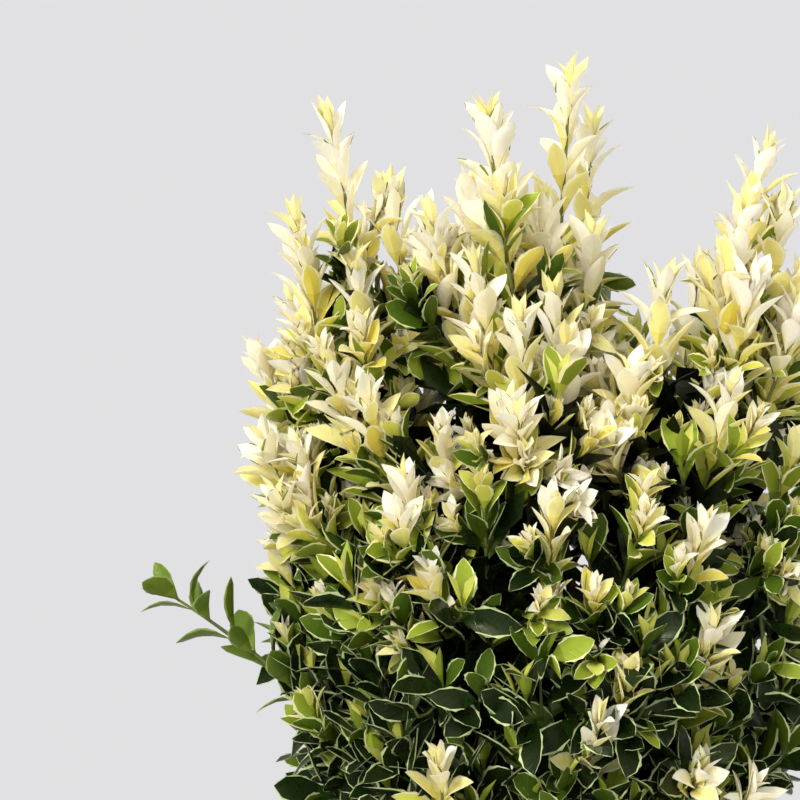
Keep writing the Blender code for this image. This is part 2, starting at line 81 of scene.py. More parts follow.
# %% Measure the pot, the compost and the trunk
_, POT_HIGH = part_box("pot")
_, SOIL_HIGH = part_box("compost")
TRUNK_LOW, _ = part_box("trunk")
POT_HEIGHT = POT_HIGH[2]
POT_RIM_RADIUS = POT_HIGH[0]
SOIL_TOP = SOIL_HIGH[2]
MASS_NODES = sorted(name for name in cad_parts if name.startswith("mass_"))
BOUGH_NODES = sorted(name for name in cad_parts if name.startswith("bough_"))
UP = Vector((0.0, 0.0, 1.0))
print("pot", round(POT_HEIGHT, 4), "high,", round(POT_RIM_RADIUS * 2, 4), "across the rim")
print(len(MASS_NODES), "masses of leaves on", len(BOUGH_NODES), "boughs")

# %% [markdown]
# ## Helpers for modelling by hand
#
# Every operator in Blender acts on what is selected. The frame's solids arrive selected, so each
# new piece starts by deselecting everything. In edit mode we pick points and faces by their place,
# as one would with a box select, and leave the operators to move them.

# %% Start and finish a piece
def start_piece():
    """Leaves edit mode and deselects everything."""
    if bpy.context.object and bpy.context.object.mode != "OBJECT":
        bpy.ops.object.mode_set(mode="OBJECT")
    bpy.ops.object.select_all(action="DESELECT")


def edit_new(name):
    """Names the primitive that was just added, puts its place in its mesh and edits it."""
    piece = bpy.context.object
    piece.name = name
    piece.data.name = name
    bpy.ops.object.transform_apply(location=True, rotation=True, scale=True)
    bpy.ops.object.mode_set(mode="EDIT")
    return piece


def select_only(kind, wanted):
    """In edit mode, selects just the points (VERT) or edges (EDGE) that pass the test."""
    bpy.ops.mesh.select_mode(type=kind)
    mesh = bpy.context.object.data
    shape = bmesh.from_edit_mesh(mesh)
    for part in shape.verts if kind == "VERT" else shape.edges:
        part.select_set(bool(wanted(part)))
    shape.select_flush_mode()
    bmesh.update_edit_mesh(mesh)


def select_points(wanted):
    """Selects just the points whose place passes the test."""
    select_only("VERT", lambda point: wanted(point.co))


def select_edges(wanted):
    """Selects just the edges whose two ends pass the test."""
    select_only("EDGE", lambda edge: wanted(edge.verts[0].co, edge.verts[1].co))


def put_in_scene(name, data):
    """An object for a mesh, a lamp or a camera."""
    holder = bpy.data.objects.new(name, data)
    bpy.context.scene.collection.objects.link(holder)
    return holder


def keep_piece(piece, nodes):
    """Makes a finished piece part of the plant's one body, hides the solids that it stands for and prints its
    faces.
    """
    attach(piece, "root")
    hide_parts(*nodes)
    print(piece.name, len(piece.data.polygons), "faces")


# %% [markdown]
# ## Effects that several finishes share
#
# Clay, compost, bark and leaf skin all break up in small irregular patches, so the patchiness is
# one node group with its own inputs. A group only puts out colours, masks and heights. The
# shader itself always stays in the material.

# %% Helpers for nodes and groups
def feed(tree, socket, value):
    """Links another node's output to a socket, or gives it a plain value."""
    if isinstance(value, bpy.types.NodeSocket):
        tree.links.new(value, socket)
    else:
        socket.default_value = value


def add_node(tree, kind, inputs=(), **settings):
    """A node of one kind, with its settings, and its inputs as values or as links."""
    node = tree.nodes.new(kind)
    for key, value in settings.items():
        setattr(node, key, value)
    for key, value in dict(inputs).items():
        feed(tree, node.inputs[key], value)
    return node


def add_math(tree, operation, first, second=0.0):
    """One sum of two values."""
    return add_node(tree, "ShaderNodeMath", {0: first, 1: second}, operation=operation).outputs[0]


def add_share(tree, height, other, share):
    """A height with a share of another one added to it."""
    return add_math(tree, "ADD", height, add_math(tree, "MULTIPLY", other, share))


def add_range(tree, value, low, high, new_low, new_high):
    """Maps a value from one range to another, and holds it there."""
    inputs = {"Value": value, "From Min": low, "From Max": high, "To Min": new_low, "To Max": new_high}
    return add_node(tree, "ShaderNodeMapRange", inputs).outputs["Result"]


def mix_colours(tree, share, first, second):
    """A colour between two, by share."""
    inputs = {"Factor": share, "A": first, "B": second}
    return add_node(tree, "ShaderNodeMix", inputs, data_type="RGBA").outputs["Result"]


def new_group(name, inputs, outputs):
    """A group with named inputs, each a place (None) or a number's start value, and outputs."""
    group = bpy.data.node_groups.new(name, "ShaderNodeTree")
    for socket, value in inputs.items():
        kind = "NodeSocketVector" if value is None else "NodeSocketFloat"
        made = group.interface.new_socket(socket, in_out="INPUT", socket_type=kind)
        if value is not None:
            made.default_value = value
    for socket in outputs:
        group.interface.new_socket(socket, in_out="OUTPUT", socket_type="NodeSocketFloat")
    entry = group.nodes.new("NodeGroupInput")
    leave = group.nodes.new("NodeGroupOutput")
    return group, entry.outputs, leave.inputs


# %% Patches: soft irregular areas at one scale
PATCH_REACH = 0.26
PATCH_CLOSES = 0.24


def build_patches():
    inputs = {"Place": None, "Scale": 60.0, "Sharpness": 0.5}
    group, source, result = new_group("patches", inputs, ("Mask", "Height"))
    noise_inputs = {"Vector": source["Place"], "Scale": source["Scale"], "Detail": 5.0, "Roughness": 0.6}
    cloud = add_node(group, "ShaderNodeTexNoise", noise_inputs).outputs["Fac"]
    closes = add_math(group, "MULTIPLY", source["Sharpness"], PATCH_CLOSES)
    reach = add_math(group, "SUBTRACT", PATCH_REACH, closes)
    low = add_math(group, "SUBTRACT", 0.5, reach)
    high = add_math(group, "ADD", 0.5, reach)
    feed(group, result["Mask"], add_range(group, cloud, low, high, 0.0, 1.0))
    feed(group, result["Height"], cloud)
    return group


PATCHES = build_patches()
print("node group:", PATCHES.name)


# %% Grain: fine grit that roughens a surface
def build_grain():
    inputs = {"Place": None, "Scale": 900.0, "Smooth": 0.6, "Rough": 0.9}
    group, source, result = new_group("grain", inputs, ("Roughness", "Height"))
    noise_inputs = {"Vector": source["Place"], "Scale": source["Scale"], "Detail": 3.0, "Roughness": 0.7}
    grit = add_node(group, "ShaderNodeTexNoise", noise_inputs).outputs["Fac"]
    feed(group, result["Roughness"], add_range(group, grit, 0.3, 0.7, source["Smooth"], source["Rough"]))
    feed(group, result["Height"], grit)
    return group


GRAIN = build_grain()
print("node group:", GRAIN.name)

# %% [markdown]
# ## Leaf skin
#
# A spindle leaf is smooth and leathery. Side veins leave the midrib at a slant and show as faint
# ridges, and the gloss breaks up a little between them. The pattern follows the leaf, so the
# group reads the leaf's own map: U runs from stalk to tip and V from edge to edge.


# %% Veins: slanting ridges on a leaf's own map
VEIN_PAIRS = 7.0
VEIN_SLANT = 0.55
VEIN_FROM = 0.55
PORE_SCALE = 420.0
PORE_SHARE = 0.8


def build_veins():
    inputs = {"Map": None, "Place": None, "Gloss": 0.35, "Dull": 0.5}
    group, source, result = new_group("veins", inputs, ("Roughness", "Height"))
    split = add_node(group, "ShaderNodeSeparateXYZ", {0: source["Map"]}).outputs
    aside = add_math(group, "ABSOLUTE", add_math(group, "SUBTRACT", split["Y"], 0.5))
    slanted = add_math(group, "SUBTRACT", split["X"], add_math(group, "MULTIPLY", aside, VEIN_SLANT))
    wave = add_math(group, "SINE", add_math(group, "MULTIPLY", slanted, VEIN_PAIRS * math.tau))
    ridge = add_range(group, wave, VEIN_FROM, 1.0, 0.0, 1.0)
    noise_inputs = {"Vector": source["Place"], "Scale": PORE_SCALE, "Detail": 2.0}
    pores = add_node(group, "ShaderNodeTexNoise", noise_inputs).outputs["Fac"]
    feed(group, result["Roughness"], add_range(group, pores, 0.35, 0.65, source["Gloss"], source["Dull"]))
    feed(group, result["Height"], add_share(group, ridge, pores, PORE_SHARE))
    return group


VEINS = build_veins()
print("node group:", VEINS.name)

# %% [markdown]
# ## The leaf colours
#
# The young growth is cream, then butter yellow, and each leaf greens from its middle as it ages,
# until a thin pale margin is all that is left. Each kind of leaf has three plain colours: its
# blade, its margin and its throat by the stalk. The colour belongs to a place on the plant, so it
# is dealt out leaf by leaf and isn't painted by a texture. The near-black shade kind is painted
# shade for the inside of the low crown, and the deep green is partly painted shade too.


# %% Name the colours, as a screen shows them, and turn them to linear light
def linear(red, green, blue):
    """A colour given as 0 to 255 values on a screen, as the linear light a shader takes."""
    levels = []
    for level in (red, green, blue):
        share = level / 255.0
        levels.append(share / 12.92 if share <= 0.04045 else ((share + 0.055) / 1.055) ** 2.4)
    return (*levels, 1.0)


# Each kind of leaf: blade, margin, throat, and its gloss and dull roughness
LEAF_KINDS = {
    "bud": ((244, 233, 156), (66, 84, 34), (232, 218, 128), 0.42, 0.58),
    "cream": ((253, 240, 195), (255, 248, 218), (246, 231, 166), 0.44, 0.60),
    "ivory": ((255, 246, 216), (255, 250, 231), (250, 239, 190), 0.44, 0.60),
    "butter": ((242, 227, 142), (251, 242, 190), (229, 211, 114), 0.44, 0.60),
    "amber": ((218, 196, 86), (244, 232, 166), (202, 180, 70), 0.42, 0.58),
    "edged": ((254, 244, 208), (58, 76, 30), (250, 237, 180), 0.44, 0.60),
    "lemon": ((202, 202, 82), (250, 240, 174), (164, 168, 46), 0.40, 0.54),
    "painted": ((116, 132, 30), (248, 238, 178), (172, 172, 62), 0.38, 0.52),
    "lime": ((138, 154, 46), (230, 232, 166), (112, 130, 32), 0.34, 0.48),
    "leaf_green": ((62, 85, 17), (200, 212, 146), (64, 84, 18), 0.30, 0.44),
    "fresh": ((84, 108, 30), (140, 160, 78), (104, 126, 42), 0.34, 0.48),
    # deep: the old leaves' own dark green, made darker still so that the low crown keeps its shade: partly
    # painted shade.
    "deep": ((16, 29, 7), (184, 198, 140), (27, 46, 12), 0.25, 0.39),
    # shade: near-black leaves for the inside of the low crown, painted shade where the real leaves are green.
    "shade": ((5, 9, 3), (40, 54, 22), (8, 13, 4), 0.40, 0.56),
}
print(len(LEAF_KINDS), "kinds of leaf, from", next(iter(LEAF_KINDS)), "to", list(LEAF_KINDS)[-1])


# %% Helpers for materials
def plain_finish(name, colour):
    """A material whose base colour is plain, with its tree and its own shader."""
    finish = bpy.data.materials.new(name)
    finish.use_nodes = True
    tree = finish.node_tree
    shader = tree.nodes["Principled BSDF"]
    shader.inputs["Base Color"].default_value = linear(*colour)
    return finish, tree, shader


def object_place(tree):
    """The object's own coordinates, which stay on the piece wherever it is seen from."""
    return tree.nodes.new("ShaderNodeTexCoord").outputs["Object"]


def place_group(tree, group, **inputs):
    """Puts a shared effect in a material, on the object's own coordinates if none are given."""
    if "Place" not in inputs:
        inputs["Place"] = object_place(tree)
    return add_node(tree, "ShaderNodeGroup", inputs, node_tree=group).outputs


def cover(tree, shader, roughness, height, depth, colour=None):
    """Gives a shader its roughness, its relief of some depth and, if there is one, its colour."""
    bump = add_node(tree, "ShaderNodeBump", {"Height": height, "Distance": depth, "Strength": 1.0})
    tree.links.new(roughness, shader.inputs["Roughness"])
    tree.links.new(bump.outputs["Normal"], shader.inputs["Normal"])
    if colour:
        tree.links.new(colour, shader.inputs["Base Color"])


# %% Make the leaf materials
VEIN_BUMP = 0.00006
PALE_RED = 200
PALE_GLOW = 0.6
GREEN_GLOW = 0.12
LEAF_SKIN = {
    "Specular IOR Level": 0.29,
    "Specular Tint": linear(226, 236, 190),
    "Subsurface Radius": (1.0, 0.9, 0.6),
    "Subsurface Scale": 0.003,
}


def leaf_finish(name, colour, gloss, dull, glow):
    """A leaf's skin. Light that falls on the back of a thin leaf glows through, by glow."""
    finish, tree, shader = plain_finish(name, colour)
    for key, value in {**LEAF_SKIN, "Subsurface Weight": glow}.items():
        shader.inputs[key].default_value = value
    leaf_map = add_node(tree, "ShaderNodeUVMap", uv_map="leaf").outputs["UV"]
    veins = place_group(tree, VEINS, Map=leaf_map, Gloss=gloss, Dull=dull)
    cover(tree, shader, veins["Roughness"], veins["Height"], VEIN_BUMP)
    return finish


LEAF_FINISHES = {}
for kind, (*colours, gloss, dull) in LEAF_KINDS.items():
    glow = PALE_GLOW if colours[0][0] > PALE_RED else GREEN_GLOW
    parts = zip(("blade", "margin", "throat"), colours)
    LEAF_FINISHES[kind] = [leaf_finish(f"{kind} {part}", colour, gloss, dull, glow) for part, colour in parts]
print(sum(len(finishes) for finishes in LEAF_FINISHES.values()), "leaf materials")

# %% [markdown]
# ## Model the leaves
#
# A leaf starts as a flat grid, five faces long and four wide, or three long where it is small or
# hidden. The outer columns are the margin. We subdivide the long edges of the larger kinds for
# the teeth, then take the grid row by row: resize it to the outline, slide it along, and lift the
# sides so that the blade folds at its midrib. A copy of the sheet, turned over and sunk by the
# leaf's thickness, closes it underneath. Forty faces, or twenty-four on the small and the hidden
# leaves, are few enough to repeat thousands of times.

# %% Sizes of a leaf of unit length
FINE_ROWS = (0.0, 0.12, 0.36, 0.62, 0.85, 1.0)
FEW_ROWS = (0.0, 0.24, 0.62, 1.0)
COLUMNS = 4
STALK_END = 0.09
STALK_WIDTH = 0.034
OUTER_COLUMN = 0.5
INNER_COLUMN = 0.25
NEAR = 0.01
NEAR_SHARE = 0.03
FLATTENS = 0.45
ASIDE = 10.0
LEAST_WIDTH = 0.001

LeafShape = namedtuple("LeafShape", "width widest full fold tooth margin")
LEAF_SHAPES = {
    "point": LeafShape(0.31, 0.52, 0.86, 0.66, 0.00, 0.20),
    "trough": LeafShape(0.35, 0.60, 0.90, 0.54, 0.02, 0.20),
    "edged": LeafShape(0.34, 0.60, 0.90, 0.56, 0.03, 0.13),
    "blade": LeafShape(0.37, 0.61, 0.86, 0.46, 0.04, 0.16),
    "painted": LeafShape(0.38, 0.61, 0.84, 0.44, 0.04, 0.24),
    "broad": LeafShape(0.41, 0.60, 0.80, 0.30, 0.05, 0.095),
    "open": LeafShape(0.40, 0.59, 0.80, 0.22, 0.05, 0.085),
    "sprig": LeafShape(0.38, 0.60, 0.84, 0.40, 0.03, 0.07),
    "inner": LeafShape(0.44, 0.57, 0.66, 0.24, 0.00, 0.09),
}
THROAT_SHARE = 0.30
RIM_CUTS = 2
LEAF_THICKNESS = 0.014
RIM_WELD = 0.0015
MARGIN_FROM = 0.96


def half_width(shape, x):
    """Half the leaf's width at a share of its length: a narrow stalk, then a rounded blade."""
    if x >= 1.0:
        return 0.0
    t = max(0.0, (x - STALK_END) / (1.0 - STALK_END))
    power = math.log(0.5) / math.log((shape.widest - STALK_END) / (1.0 - STALK_END))
    blade = math.sin(math.pi * min(1.0, t**power)) ** shape.full if t > 0.0 else 0.0
    return max(STALK_WIDTH / 2, shape.width / 2 * blade)


# %% Shape one leaf, row by row
def shape_row(shape, x_from, x_to, width):
    """Takes the row of points at x_from to its width and its fold, and on to its own place,
    set aside so that no row is picked twice."""
    def in_row(p):
        return abs(p.x - x_from) < NEAR

    select_points(in_row)
    bpy.ops.transform.resize(value=(1.0, width / OUTER_COLUMN, 1.0), center_override=(x_from, 0.0, 0.0))
    fold = shape.fold * (1.0 - FLATTENS * x_to)
    for share in (1.0, 1.0 - shape.margin):
        select_points(lambda p: in_row(p) and abs(abs(p.y) - width * share) < width * NEAR_SHARE)
        bpy.ops.transform.translate(value=(0.0, 0.0, width * share * fold))
    select_points(in_row)
    bpy.ops.transform.translate(value=(x_to - x_from + ASIDE, 0.0, 0.0))


def model_leaf(name, shape):
    start_piece()
    toothed = shape.tooth > 0.0
    places = FINE_ROWS if toothed else FEW_ROWS
    rows = len(places) - 1
    bpy.ops.mesh.primitive_grid_add(
        x_subdivisions=rows, y_subdivisions=COLUMNS, size=1.0, location=(0.5, 0.0, 0.0)
    )
    leaf = edit_new(name)
    select_points(lambda p: abs(abs(p.y) - INNER_COLUMN) < NEAR)
    inner = OUTER_COLUMN * (1.0 - shape.margin) / INNER_COLUMN
    bpy.ops.transform.resize(value=(1.0, inner, 1.0), center_override=(0.0, 0.0, 0.0))
    if toothed:
        select_edges(lambda a, b: min(abs(a.y), abs(b.y)) > OUTER_COLUMN - NEAR and a.y * b.y > 0.0)
        bpy.ops.mesh.subdivide(number_cuts=RIM_CUTS, ngon=True)
    steps = rows * (RIM_CUTS + 1) if toothed else rows
    for step in range(steps + 1):
        x = float(np.interp(step / steps * rows, range(rows + 1), places))
        tooth = shape.tooth * (0.0 < x < 1.0) * (-1.0) ** step
        shape_row(shape, step / steps, x, max(half_width(shape, x) * (1.0 + tooth), LEAST_WIDTH))
    bpy.ops.mesh.select_all(action="SELECT")
    bpy.ops.transform.translate(value=(-ASIDE, 0.0, 0.0))
    close_underneath(leaf)
    start_piece()
    return leaf


def spot_of(point):
    """A point's place, rounded so that two points in one place compare as equal."""
    return tuple(round(value, 5) for value in point.co)


def close_underneath(leaf):
    """Adds the leaf's lower face: a copy turned over and sunk, which shares the outline."""
    edges = bmesh.from_edit_mesh(leaf.data).edges
    rim = {spot_of(point) for edge in edges if edge.is_boundary for point in edge.verts}
    bpy.ops.mesh.select_all(action="SELECT")
    bpy.ops.mesh.duplicate()
    bpy.ops.mesh.flip_normals()
    select_only("VERT", lambda point: point.select and spot_of(point) not in rim)
    bpy.ops.transform.translate(value=(0.0, 0.0, -LEAF_THICKNESS))
    bpy.ops.mesh.select_all(action="SELECT")
    bpy.ops.mesh.remove_doubles(threshold=RIM_WELD)
    bpy.ops.object.mode_set(mode="OBJECT")


# %% Model every shape of leaf and keep its arrays
def mesh_arrays(mesh):
    """A mesh as plain arrays: places, faces, slots and the map, ready to be repeated."""
    def read(items, key, size, kind=np.int32):
        values = np.empty(len(items) * size, dtype=kind)
        items.foreach_get(key, values)
        return values

    map_data = mesh.uv_layers[0].data if mesh.uv_layers else ()
    return {
        "places": read(mesh.vertices, "co", 3, float).reshape(-1, 3),
        "corners": read(mesh.loops, "vertex_index", 1),
        "counts": read(mesh.polygons, "loop_total", 1),
        "slots": read(mesh.polygons, "material_index", 1),
        "map": read(map_data, "uv", 2, float).reshape(-1, 2) if map_data else np.zeros((len(mesh.loops), 2)),
    }


def set_leaf_slots(leaf, shape, broken):
    """Margin faces take slot 1, throat faces slot 2 and the rest of the blade slot 0. A
    broken margin leaves out every other face, turn about on the two sides."""
    for face in leaf.data.polygons:
        x, y, _ = face.center
        on_margin = abs(y) > half_width(shape, x) * (1.0 - shape.margin) * MARGIN_FROM
        row = sum(x > place for place in FINE_ROWS) + (y > 0.0)
        shows = on_margin and not (broken and row % 2)
        in_throat = x < THROAT_SHARE and not (shows and broken)
        face.material_index = 2 if in_throat else int(shows)


LEAF_MASTERS = {}
for name, shape in LEAF_SHAPES.items():
    leaf = model_leaf(f"leaf {name}", shape)
    set_leaf_slots(leaf, shape, name == "edged")
    LEAF_MASTERS[name] = mesh_arrays(leaf.data)
    print("leaf", name, len(leaf.data.polygons), "faces,", len(leaf.data.vertices), "points")
    bpy.data.objects.remove(leaf, do_unlink=True)

# %% [markdown]
# ## The rule of growth
#
# The plant grows by one rule. A limb leaves its carrier on a short square collar and bends up to
# its tip. Each bough ends where it enters a mass of leaves, and the stem of the mass goes on from
# there to the tip of its leading shoot. Side shoots leave the stem low down, fan round it and end
# a little below the leader. The seed of each draw is the mass's own name, so the same shrub grows
# every time. The sizes are those of the solids, so every fine limb lies where its solid lies.

# %% Sizes of the limbs
GAP = 0.0003
TRUNK_HEIGHT = 0.066
TRUNK_FLARE_RADIUS = 0.0145
TRUNK_RADIUS = 0.0095
TRUNK_TIP_RADIUS = 0.0070
TRUNK_LEAN = -0.004
FLARE_HEIGHT = 0.012
TRUNK_STEPS = 7
MAIN_BOUGH_RADIUS = 0.0036
SIDE_BOUGH_RADIUS = 0.0027
BOUGH_TIP_SHARE = 0.66
COLLAR = 0.004
COLLAR_RISE = 0.9
LEAVES_SHARE = 0.33
ARRIVES_SHARE = 0.42
LINE_STEPS = 40
SIDE_BEND_SHARE = 0.40
SIDE_SLANT = 0.7
LEAN_OUT = 2.4
STEM_TIP_RADIUS = 0.0009
TWIG_RADIUS = 0.0014
BOUGH_STEPS = 5
STEM_STEPS = 4
CROWN_HEIGHTS = (0.175, 0.240, 0.300, 0.380, 0.500, 0.620)
CROWN_RADII = (0.098, 0.116, 0.128, 0.136, 0.132, 0.110)
TIP_ROOM = 0.006
DIP_AT = 0.044
DIP_HALF = 0.017
DIP_FLOOR = 0.462
SPRIG_HEADING = Vector((-0.85, -0.10, 0.55)).normalized()

# %% Habits of the tiers, and one row for each mass: tier, tip, carrier and share along it
TIERS = {
    "top": {"shoots": 3, "fan": 0.036, "drop": 0.075, "span": 330.0, "enters": 0.50},
    "mid": {"shoots": 2, "fan": 0.038, "drop": 0.070, "span": 250.0, "enters": 0.42},
    "low": {"shoots": 2, "fan": 0.042, "drop": 0.060, "span": 230.0, "enters": 0.34},
    "sprig": {"shoots": 1, "fan": 0.016, "drop": 0.022, "span": 200.0, "enters": 0.55},
}
MASSES = {
    "tall_spire": ("top", (0.013, 0.030, 0.610), "trunk", 1.00),
    "centre_spire": ("top", (-0.030, -0.022, 0.592), "trunk", 0.90),
    "left_spire": ("top", (-0.110, -0.012, 0.590), "trunk", 0.66),
    "right_spire": ("top", (0.113, 0.004, 0.576), "trunk", 0.80),
    "back_left_spire": ("top", (-0.066, 0.074, 0.522), "trunk", 0.80),
    "back_right_spire": ("top", (0.084, 0.070, 0.512), "trunk", 0.62),
    "right_inner_spire": ("top", (0.058, -0.046, 0.512), "trunk", 0.62),
    "left_shoulder": ("mid", (-0.146, -0.008, 0.472), "left_spire", 0.55),
    "left_front": ("mid", (-0.092, -0.074, 0.462), "left_spire", 0.34),
    "centre_front": ("mid", (-0.014, -0.076, 0.500), "centre_spire", 0.60),
    "middle_front": ("mid", (-0.034, -0.112, 0.424), "centre_spire", 0.32),
    "right_front": ("mid", (0.046, -0.104, 0.420), "right_inner_spire", 0.55),
    "right_side": ("mid", (0.128, -0.040, 0.436), "right_spire", 0.60),
    "back_right": ("mid", (0.100, 0.086, 0.430), "back_right_spire", 0.40),
    "back_centre": ("mid", (0.004, 0.122, 0.465), "back_left_spire", 0.62),
    "back_left": ("mid", (-0.106, 0.078, 0.440), "back_left_spire", 0.36),
    "low_left_front": ("low", (-0.092, -0.080, 0.340), "trunk", 0.46),
    "low_front": ("low", (-0.046, -0.112, 0.292), "trunk", 0.30),
    "low_right_front": ("low", (0.030, -0.116, 0.318), "trunk", 0.46),
    "right_corner": ("low", (0.092, -0.082, 0.326), "trunk", 0.34),
    "low_right": ("low", (0.122, 0.016, 0.322), "trunk", 0.44),
    "low_back_right": ("low", (0.066, 0.104, 0.310), "trunk", 0.34),
    "low_back_left": ("low", (-0.046, 0.114, 0.324), "trunk", 0.46),
    "low_left": ("low", (-0.118, 0.024, 0.330), "trunk", 0.36),
    "left_sprig": ("sprig", (-0.186, -0.030, 0.346), "low_left", 0.55),
}
print(len(MASSES), "masses in", len(TIERS), "tiers")

# %% [markdown]
# A mass also bears a few single shoots: spires that stand out by themselves in the view of the
# front, and shoots that fill the crown's low parts, its sides and its back. Each is given by its
# own tip and the reach of its cream growth, and leaves its mass's stem as every side shoot does.

# %% Single shoots of each mass: tip and reach of the cream growth
SPIRES = {
    "left_spire": (((-0.078, -0.020, 0.553), 0.085), ((-0.124, -0.034, 0.542), 0.080)),
    "centre_spire": (((-0.060, -0.030, 0.528), 0.075), ((-0.036, -0.055, 0.520), 0.080)),
    "tall_spire": (((-0.002, 0.002, 0.545), 0.080), ((0.023, 0.004, 0.530), 0.080)),
    "centre_front": (((0.008, -0.062, 0.484), 0.070), ((-0.020, -0.095, 0.455), 0.055)),
    "right_spire": (((0.088, -0.012, 0.522), 0.075), ((0.124, -0.026, 0.494), 0.075)),
    "right_inner_spire": (((0.040, -0.066, 0.470), 0.065), ((0.030, -0.086, 0.440), 0.050)),
    "left_front": (
        ((-0.106, -0.056, 0.470), 0.070), ((-0.070, -0.092, 0.420), 0.055), ((-0.053, -0.074, 0.444), 0.040),
    ),
    "left_shoulder": (((-0.132, -0.046, 0.405), 0.060), ((-0.140, -0.030, 0.432), 0.060)),
    "middle_front": (((0.000, -0.118, 0.412), 0.050), ((-0.058, -0.112, 0.380), 0.045)),
    "right_front": (((0.073, -0.098, 0.398), 0.055), ((0.020, -0.124, 0.372), 0.020)),
    "right_side": (
        ((0.136, -0.020, 0.392), 0.035), ((0.120, -0.064, 0.372), 0.035), ((0.136, 0.014, 0.378), 0.024),
        ((0.130, 0.036, 0.352), 0.012),
    ),
    "back_right": (((0.112, 0.070, 0.372), 0.020),),
    "back_centre": (((0.030, 0.124, 0.372), 0.020), ((-0.020, 0.128, 0.378), 0.022)),
    "back_left": (((-0.082, 0.100, 0.376), 0.020), ((-0.112, 0.066, 0.372), 0.018)),
    "low_back_right": (((0.034, 0.122, 0.318), 0.0), ((0.092, 0.088, 0.300), 0.0)),
    "low_back_left": (
        ((-0.052, 0.116, 0.346), 0.010), ((-0.016, 0.124, 0.306), 0.0), ((-0.086, 0.090, 0.312), 0.0),
    ),
    "low_left": (
        ((-0.134, -0.012, 0.378), 0.030), ((-0.130, -0.036, 0.338), 0.012), ((-0.122, 0.044, 0.330), 0.0),
    ),
    "low_left_front": (
        ((-0.086, -0.096, 0.378), 0.050), ((-0.118, -0.056, 0.306), 0.036), ((-0.108, -0.064, 0.262), 0.0),
        ((-0.086, -0.092, 0.252), 0.0),
    ),
    "low_right_front": (
        ((0.036, -0.126, 0.332), 0.052), ((0.022, -0.132, 0.312), 0.060), ((0.004, -0.126, 0.262), 0.0),
        ((0.048, -0.112, 0.244), 0.0), ((-0.006, -0.122, 0.338), 0.0),
    ),
    "right_corner": (
        ((0.078, -0.102, 0.350), 0.056), ((0.098, -0.092, 0.270), 0.056), ((0.118, -0.052, 0.282), 0.0),
        ((0.072, -0.108, 0.284), 0.054),
    ),
    "low_front": (
        ((-0.054, -0.126, 0.290), 0.058), ((-0.024, -0.120, 0.246), 0.0), ((-0.068, -0.104, 0.236), 0.0),
    ),
    "low_right": (
        ((0.128, -0.024, 0.330), 0.016), ((0.132, 0.010, 0.312), 0.0), ((0.120, 0.050, 0.296), 0.0),
    ),
}
print(sum(len(rows) for rows in SPIRES.values()), "single shoots")


# %% Lines: bends, and places along them
def bend(start, leaves, arrives, end, steps):
    """Points along one smooth bend, which sets off along leaves and comes in along arrives."""
    near = start + leaves
    far = end - arrives
    points = []
    for index in range(steps + 1):
        t = index / steps
        s = 1.0 - t
        points.append(start * s**3 + near * (3 * s * s * t) + far * (3 * s * t * t) + end * t**3)
    return points


def point_at(points, share):
    """The place and heading at a share of the way along a run of points."""
    place = share * (len(points) - 1)
    index = min(int(place), len(points) - 2)
    step = points[index + 1] - points[index]
    return points[index] + step * (place - index), step.normalized()


def part_of(points, first, last, steps):
    """The stretch of a run of points between two shares, in even steps."""
    shares = [first + (last - first) * index / steps for index in range(steps + 1)]
    return [point_at(points, share)[0] for share in shares]


def length_of(points):
    return sum((b - a).length for a, b in zip(points, points[1:]))


def tapering(first, last, count):
    return [first + (last - first) * index / (count - 1) for index in range(count)]


def crown_radius(height):
    return float(np.interp(height, CROWN_HEIGHTS, CROWN_RADII))


def keep_in_crown(tip):
    """Draws a tip in towards the middle until it is inside the crown's outline, and down
    where the top of the crown dips between the middle spires and the right-hand ones."""
    if abs(tip.x - DIP_AT) < DIP_HALF:
        tip = Vector((tip.x, tip.y, min(tip.z, DIP_FLOOR)))
    reach = math.hypot(tip.x, tip.y)
    limit = crown_radius(tip.z) - TIP_ROOM
    if reach <= limit:
        return tip
    return Vector((tip.x * limit / reach, tip.y * limit / reach, tip.z))


def lean_of(tip):
    """The heading of a shoot's tip: upright, and leaning out more towards the crown's side."""
    return (UP + Vector((tip.x, tip.y, 0.0)) * LEAN_OUT).normalized()


# %% The trunk, and the line of a limb with the leader that it grows into
def trunk_run():
    """The trunk's centre line and radii, from its flat cut on the compost to its tip."""
    points = []
    radii = []
    for index in range(TRUNK_STEPS + 1):
        share = index / TRUNK_STEPS
        height = TRUNK_HEIGHT * share
        points.append(Vector((TRUNK_LEAN * share * share, 0.0, TRUNK_LOW[2] + height)))
        flare = math.exp(-height / FLARE_HEIGHT)
        straight = TRUNK_RADIUS + (TRUNK_TIP_RADIUS - TRUNK_RADIUS) * share
        radii.append(straight + (TRUNK_FLARE_RADIUS - TRUNK_RADIUS) * flare)
    return points, radii


def limb_line(tip, carrier, carrier_radius, share, heading):
    """A short square collar on the middle of one straight of the carrier, then one bend."""
    straights = len(carrier) - 1
    if share < 1.0:
        share = (int(share * straights) + 0.5) / straights
    place, along = point_at(carrier, share)
    if share >= 1.0:
        start = place + along * GAP
        leaves = along
        rising = along
    else:
        toward = tip - place
        leaves = (toward - along * toward.dot(along)).normalized()
        start = place + leaves * (carrier_radius + GAP)
        rising = (leaves + along * COLLAR_RISE).normalized()
    collar = start + leaves * COLLAR
    span = (tip - collar).length
    line = bend(collar, rising * span * LEAVES_SHARE, heading * span * ARRIVES_SHARE, tip, LINE_STEPS)
    return place, start, line


